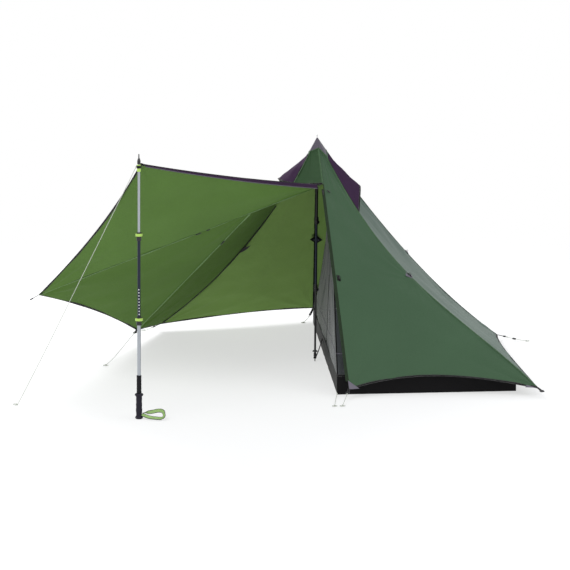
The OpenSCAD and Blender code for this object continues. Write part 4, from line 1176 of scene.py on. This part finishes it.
def build_stage():
    """A pale floor, a white surround, three soft lamps and the camera."""
    scene = bpy.context.scene
    me = bpy.data.meshes.new("floor")
    r = 14.0
    me.from_pydata([(-r, -r, -0.001), (r, -r, -0.001), (r, r, -0.001), (-r, r, -0.001)], [], [(0, 1, 2, 3)])
    floor = bpy.data.objects.new("floor", me)
    scene.collection.objects.link(floor)
    mat, t, out, co = fresh("Studio floor, white")
    grain = add(t, "ShaderNodeTexNoise", {"Vector": co.outputs["Object"], "Scale": 3.0, "Detail": 2.0})
    bsdf = add(t, "ShaderNodeBsdfPrincipled",
               {"Base Color": shade(t, (0.93, 0.93, 0.93), grain.outputs["Fac"], 0.01), "Roughness": 0.9})
    far = add(t, "ShaderNodeVectorMath", {0: co.outputs["Object"]}, operation="LENGTH")
    fade = add(t, "ShaderNodeMapRange",
               {"Value": far.outputs["Value"], "From Min": FLOOR_FADE[0], "From Max": FLOOR_FADE[1],
                "To Min": 0.0, "To Max": 1.0})
    clear = add(t, "ShaderNodeBsdfTransparent")
    glow = add(t, "ShaderNodeEmission", {"Color": (1, 1, 1, 1), "Strength": 1.0})
    pale = add(t, "ShaderNodeMixShader", {0: 0.62, 1: bsdf.outputs[0], 2: glow.outputs[0]})
    both = add(t, "ShaderNodeMixShader", {0: fade.outputs[0], 1: pale.outputs[0], 2: clear.outputs[0]})
    t.links.new(both.outputs[0], out.inputs[0])
    me.materials.append(mat)
    world = bpy.data.worlds.new("studio")
    scene.world = world
    world.use_nodes = True
    t = world.node_tree
    t.nodes.clear()
    path = add(t, "ShaderNodeLightPath")
    seen = calc(t, "MAXIMUM",
                calc(t, "MAXIMUM", path.outputs["Is Camera Ray"], path.outputs["Is Glossy Ray"]),
                path.outputs["Is Transmission Ray"])
    white = add(t, "ShaderNodeBackground", {"Color": (1, 1, 1, 1), "Strength": 1.0})
    light = add(t, "ShaderNodeBackground", {"Color": (0.93, 0.96, 1.0, 1), "Strength": 0.72})
    both = add(t, "ShaderNodeMixShader", {0: seen, 1: light.outputs[0], 2: white.outputs[0]})
    add(t, "ShaderNodeOutputWorld", {0: both.outputs[0]})
    for name, place, power, size, aim in (("key", (-3.2, -4.2, 5.0), 170, 3.0, (0, 0, 0.4)),
                                          ("fill", (4.5, -3.5, 3.2), 70, 3.5, (0.3, 0, 0.4)),
                                          ("back", (-2.2, 4.6, 4.2), 330, 3.0, (-0.3, 0, 0.5))):
        lamp = bpy.data.lights.new(name, "AREA")
        lamp.energy, lamp.size = power, size
        ob = bpy.data.objects.new(name, lamp)
        scene.collection.objects.link(ob)
        point(ob, place, aim)
    cam = bpy.data.cameras.new("camera")
    cam.lens, cam.sensor_width = CAMERA_REACH * SENSOR, SENSOR
    cam.clip_end = 60
    ob = bpy.data.objects.new("camera", cam)
    scene.collection.objects.link(ob)
    ob.location = CAMERA_AT
    ob.rotation_euler = (math.radians(90 - CAMERA_TILT), 0, math.radians(CAMERA_TURN))
    scene.camera = ob
    scene.view_settings.view_transform = "Standard"


def point(ob, place, aim):
    d = unit(np.subtract(aim, place))
    ob.location = place
    ob.rotation_euler = (math.acos(-d[2]), 0, math.atan2(-d[0], d[1]))


# ---- Operators and panel ----
class Step:
    """One button: it makes the materials if there are none yet, then runs its builder."""
    bl_options = {"REGISTER", "UNDO"}

    def run(self, build):
        if not MATS:
            make_materials()
        build()
        return {"FINISHED"}


class TEEPEE_OT_fly(Step, bpy.types.Operator):
    """Build the fly's panels with their seams and hems"""
    bl_idname = "teepee.fly"
    bl_label = "Fly panels"

    def execute(self, context):
        return self.run(build_fly)


class TEEPEE_OT_awning(Step, bpy.types.Operator):
    """Build the awning's three panels and the far porch zip"""
    bl_idname = "teepee.awning"
    bl_label = "Awning"

    def execute(self, context):
        return self.run(build_awning)


class TEEPEE_OT_free_edge(Step, bpy.types.Operator):
    """Build the band under the awning's free edge"""
    bl_idname = "teepee.free_edge"
    bl_label = "Free edge band"

    def execute(self, context):
        return self.run(build_free_edge)


class TEEPEE_OT_peak(Step, bpy.types.Operator):
    """Build the peak's cap"""
    bl_idname = "teepee.peak"
    bl_label = "Peak cap"

    def execute(self, context):
        return self.run(build_peak)


class TEEPEE_OT_vents(Step, bpy.types.Operator):
    """Build both vent hoods"""
    bl_idname = "teepee.vents"
    bl_label = "Vent hoods"

    def execute(self, context):
        return self.run(build_vents)


class TEEPEE_OT_trim(Step, bpy.types.Operator):
    """Build the corner webbing, patches, guy-out rings and the foot strap"""
    bl_idname = "teepee.trim"
    bl_label = "Webbing and patches"

    def execute(self, context):
        return self.run(build_trim)


class TEEPEE_OT_zips(Step, bpy.types.Operator):
    """Build the door zip and the inner tent's zip"""
    bl_idname = "teepee.zips"
    bl_label = "Zips"

    def execute(self, context):
        return self.run(build_zips)


class TEEPEE_OT_inner(Step, bpy.types.Operator):
    """Build the inner tent's mesh and groundsheet"""
    bl_idname = "teepee.inner"
    bl_label = "Inner tent"

    def execute(self, context):
        return self.run(build_inner)


class TEEPEE_OT_cords(Step, bpy.types.Operator):
    """Build the guylines and their peg loops"""
    bl_idname = "teepee.cords"
    bl_label = "Guylines"

    def execute(self, context):
        return self.run(build_cords)


class TEEPEE_OT_strap(Step, bpy.types.Operator):
    """Build the porch pole's wrist strap"""
    bl_idname = "teepee.wrist_strap"
    bl_label = "Wrist strap"

    def execute(self, context):
        return self.run(build_wrist_strap)


class TEEPEE_OT_finish(Step, bpy.types.Operator):
    """Give the poles and hard parts their finishes"""
    bl_idname = "teepee.finish"
    bl_label = "Poles and hard parts"

    def execute(self, context):
        return self.run(finish_frame)


class TEEPEE_OT_stage(Step, bpy.types.Operator):
    """Set the floor, lamps and camera"""
    bl_idname = "teepee.stage"
    bl_label = "Stage"

    def execute(self, context):
        return self.run(build_stage)


STEPS = (TEEPEE_OT_fly, TEEPEE_OT_awning, TEEPEE_OT_free_edge, TEEPEE_OT_peak, TEEPEE_OT_vents,
         TEEPEE_OT_trim,
         TEEPEE_OT_zips, TEEPEE_OT_inner, TEEPEE_OT_cords, TEEPEE_OT_strap, TEEPEE_OT_finish, TEEPEE_OT_stage)


class TEEPEE_PT_panel(bpy.types.Panel):
    """Buttons and settings for the tent"""
    bl_idname = "TEEPEE_PT_panel"
    bl_label = "Teepee tent"
    bl_space_type = "VIEW_3D"
    bl_region_type = "UI"
    bl_category = "Tent"

    def draw(self, context):
        for step in STEPS:
            self.layout.operator(step.bl_idname)
        for group in (context.scene.teepee_sizes, context.scene.teepee_colours):
            box = self.layout.box()
            for key in group.__annotations__:
                box.prop(group, key)


CLASSES = (TeepeeSizes, TeepeeColours) + STEPS + (TEEPEE_PT_panel,)


def register():
    for cls in CLASSES:
        bpy.utils.register_class(cls)
    bpy.types.Scene.teepee_sizes = PointerProperty(type=TeepeeSizes)
    bpy.types.Scene.teepee_colours = PointerProperty(type=TeepeeColours)


def unregister():
    del bpy.types.Scene.teepee_colours
    del bpy.types.Scene.teepee_sizes
    for cls in reversed(CLASSES):
        bpy.utils.unregister_class(cls)


def main():
    register()
    for step in STEPS:
        space, name = step.bl_idname.split(".")
        if getattr(getattr(bpy.ops, space), name)() != {"FINISHED"}:
            raise RuntimeError(step.bl_idname + " did not finish")


if __name__ == "__main__":
    main()
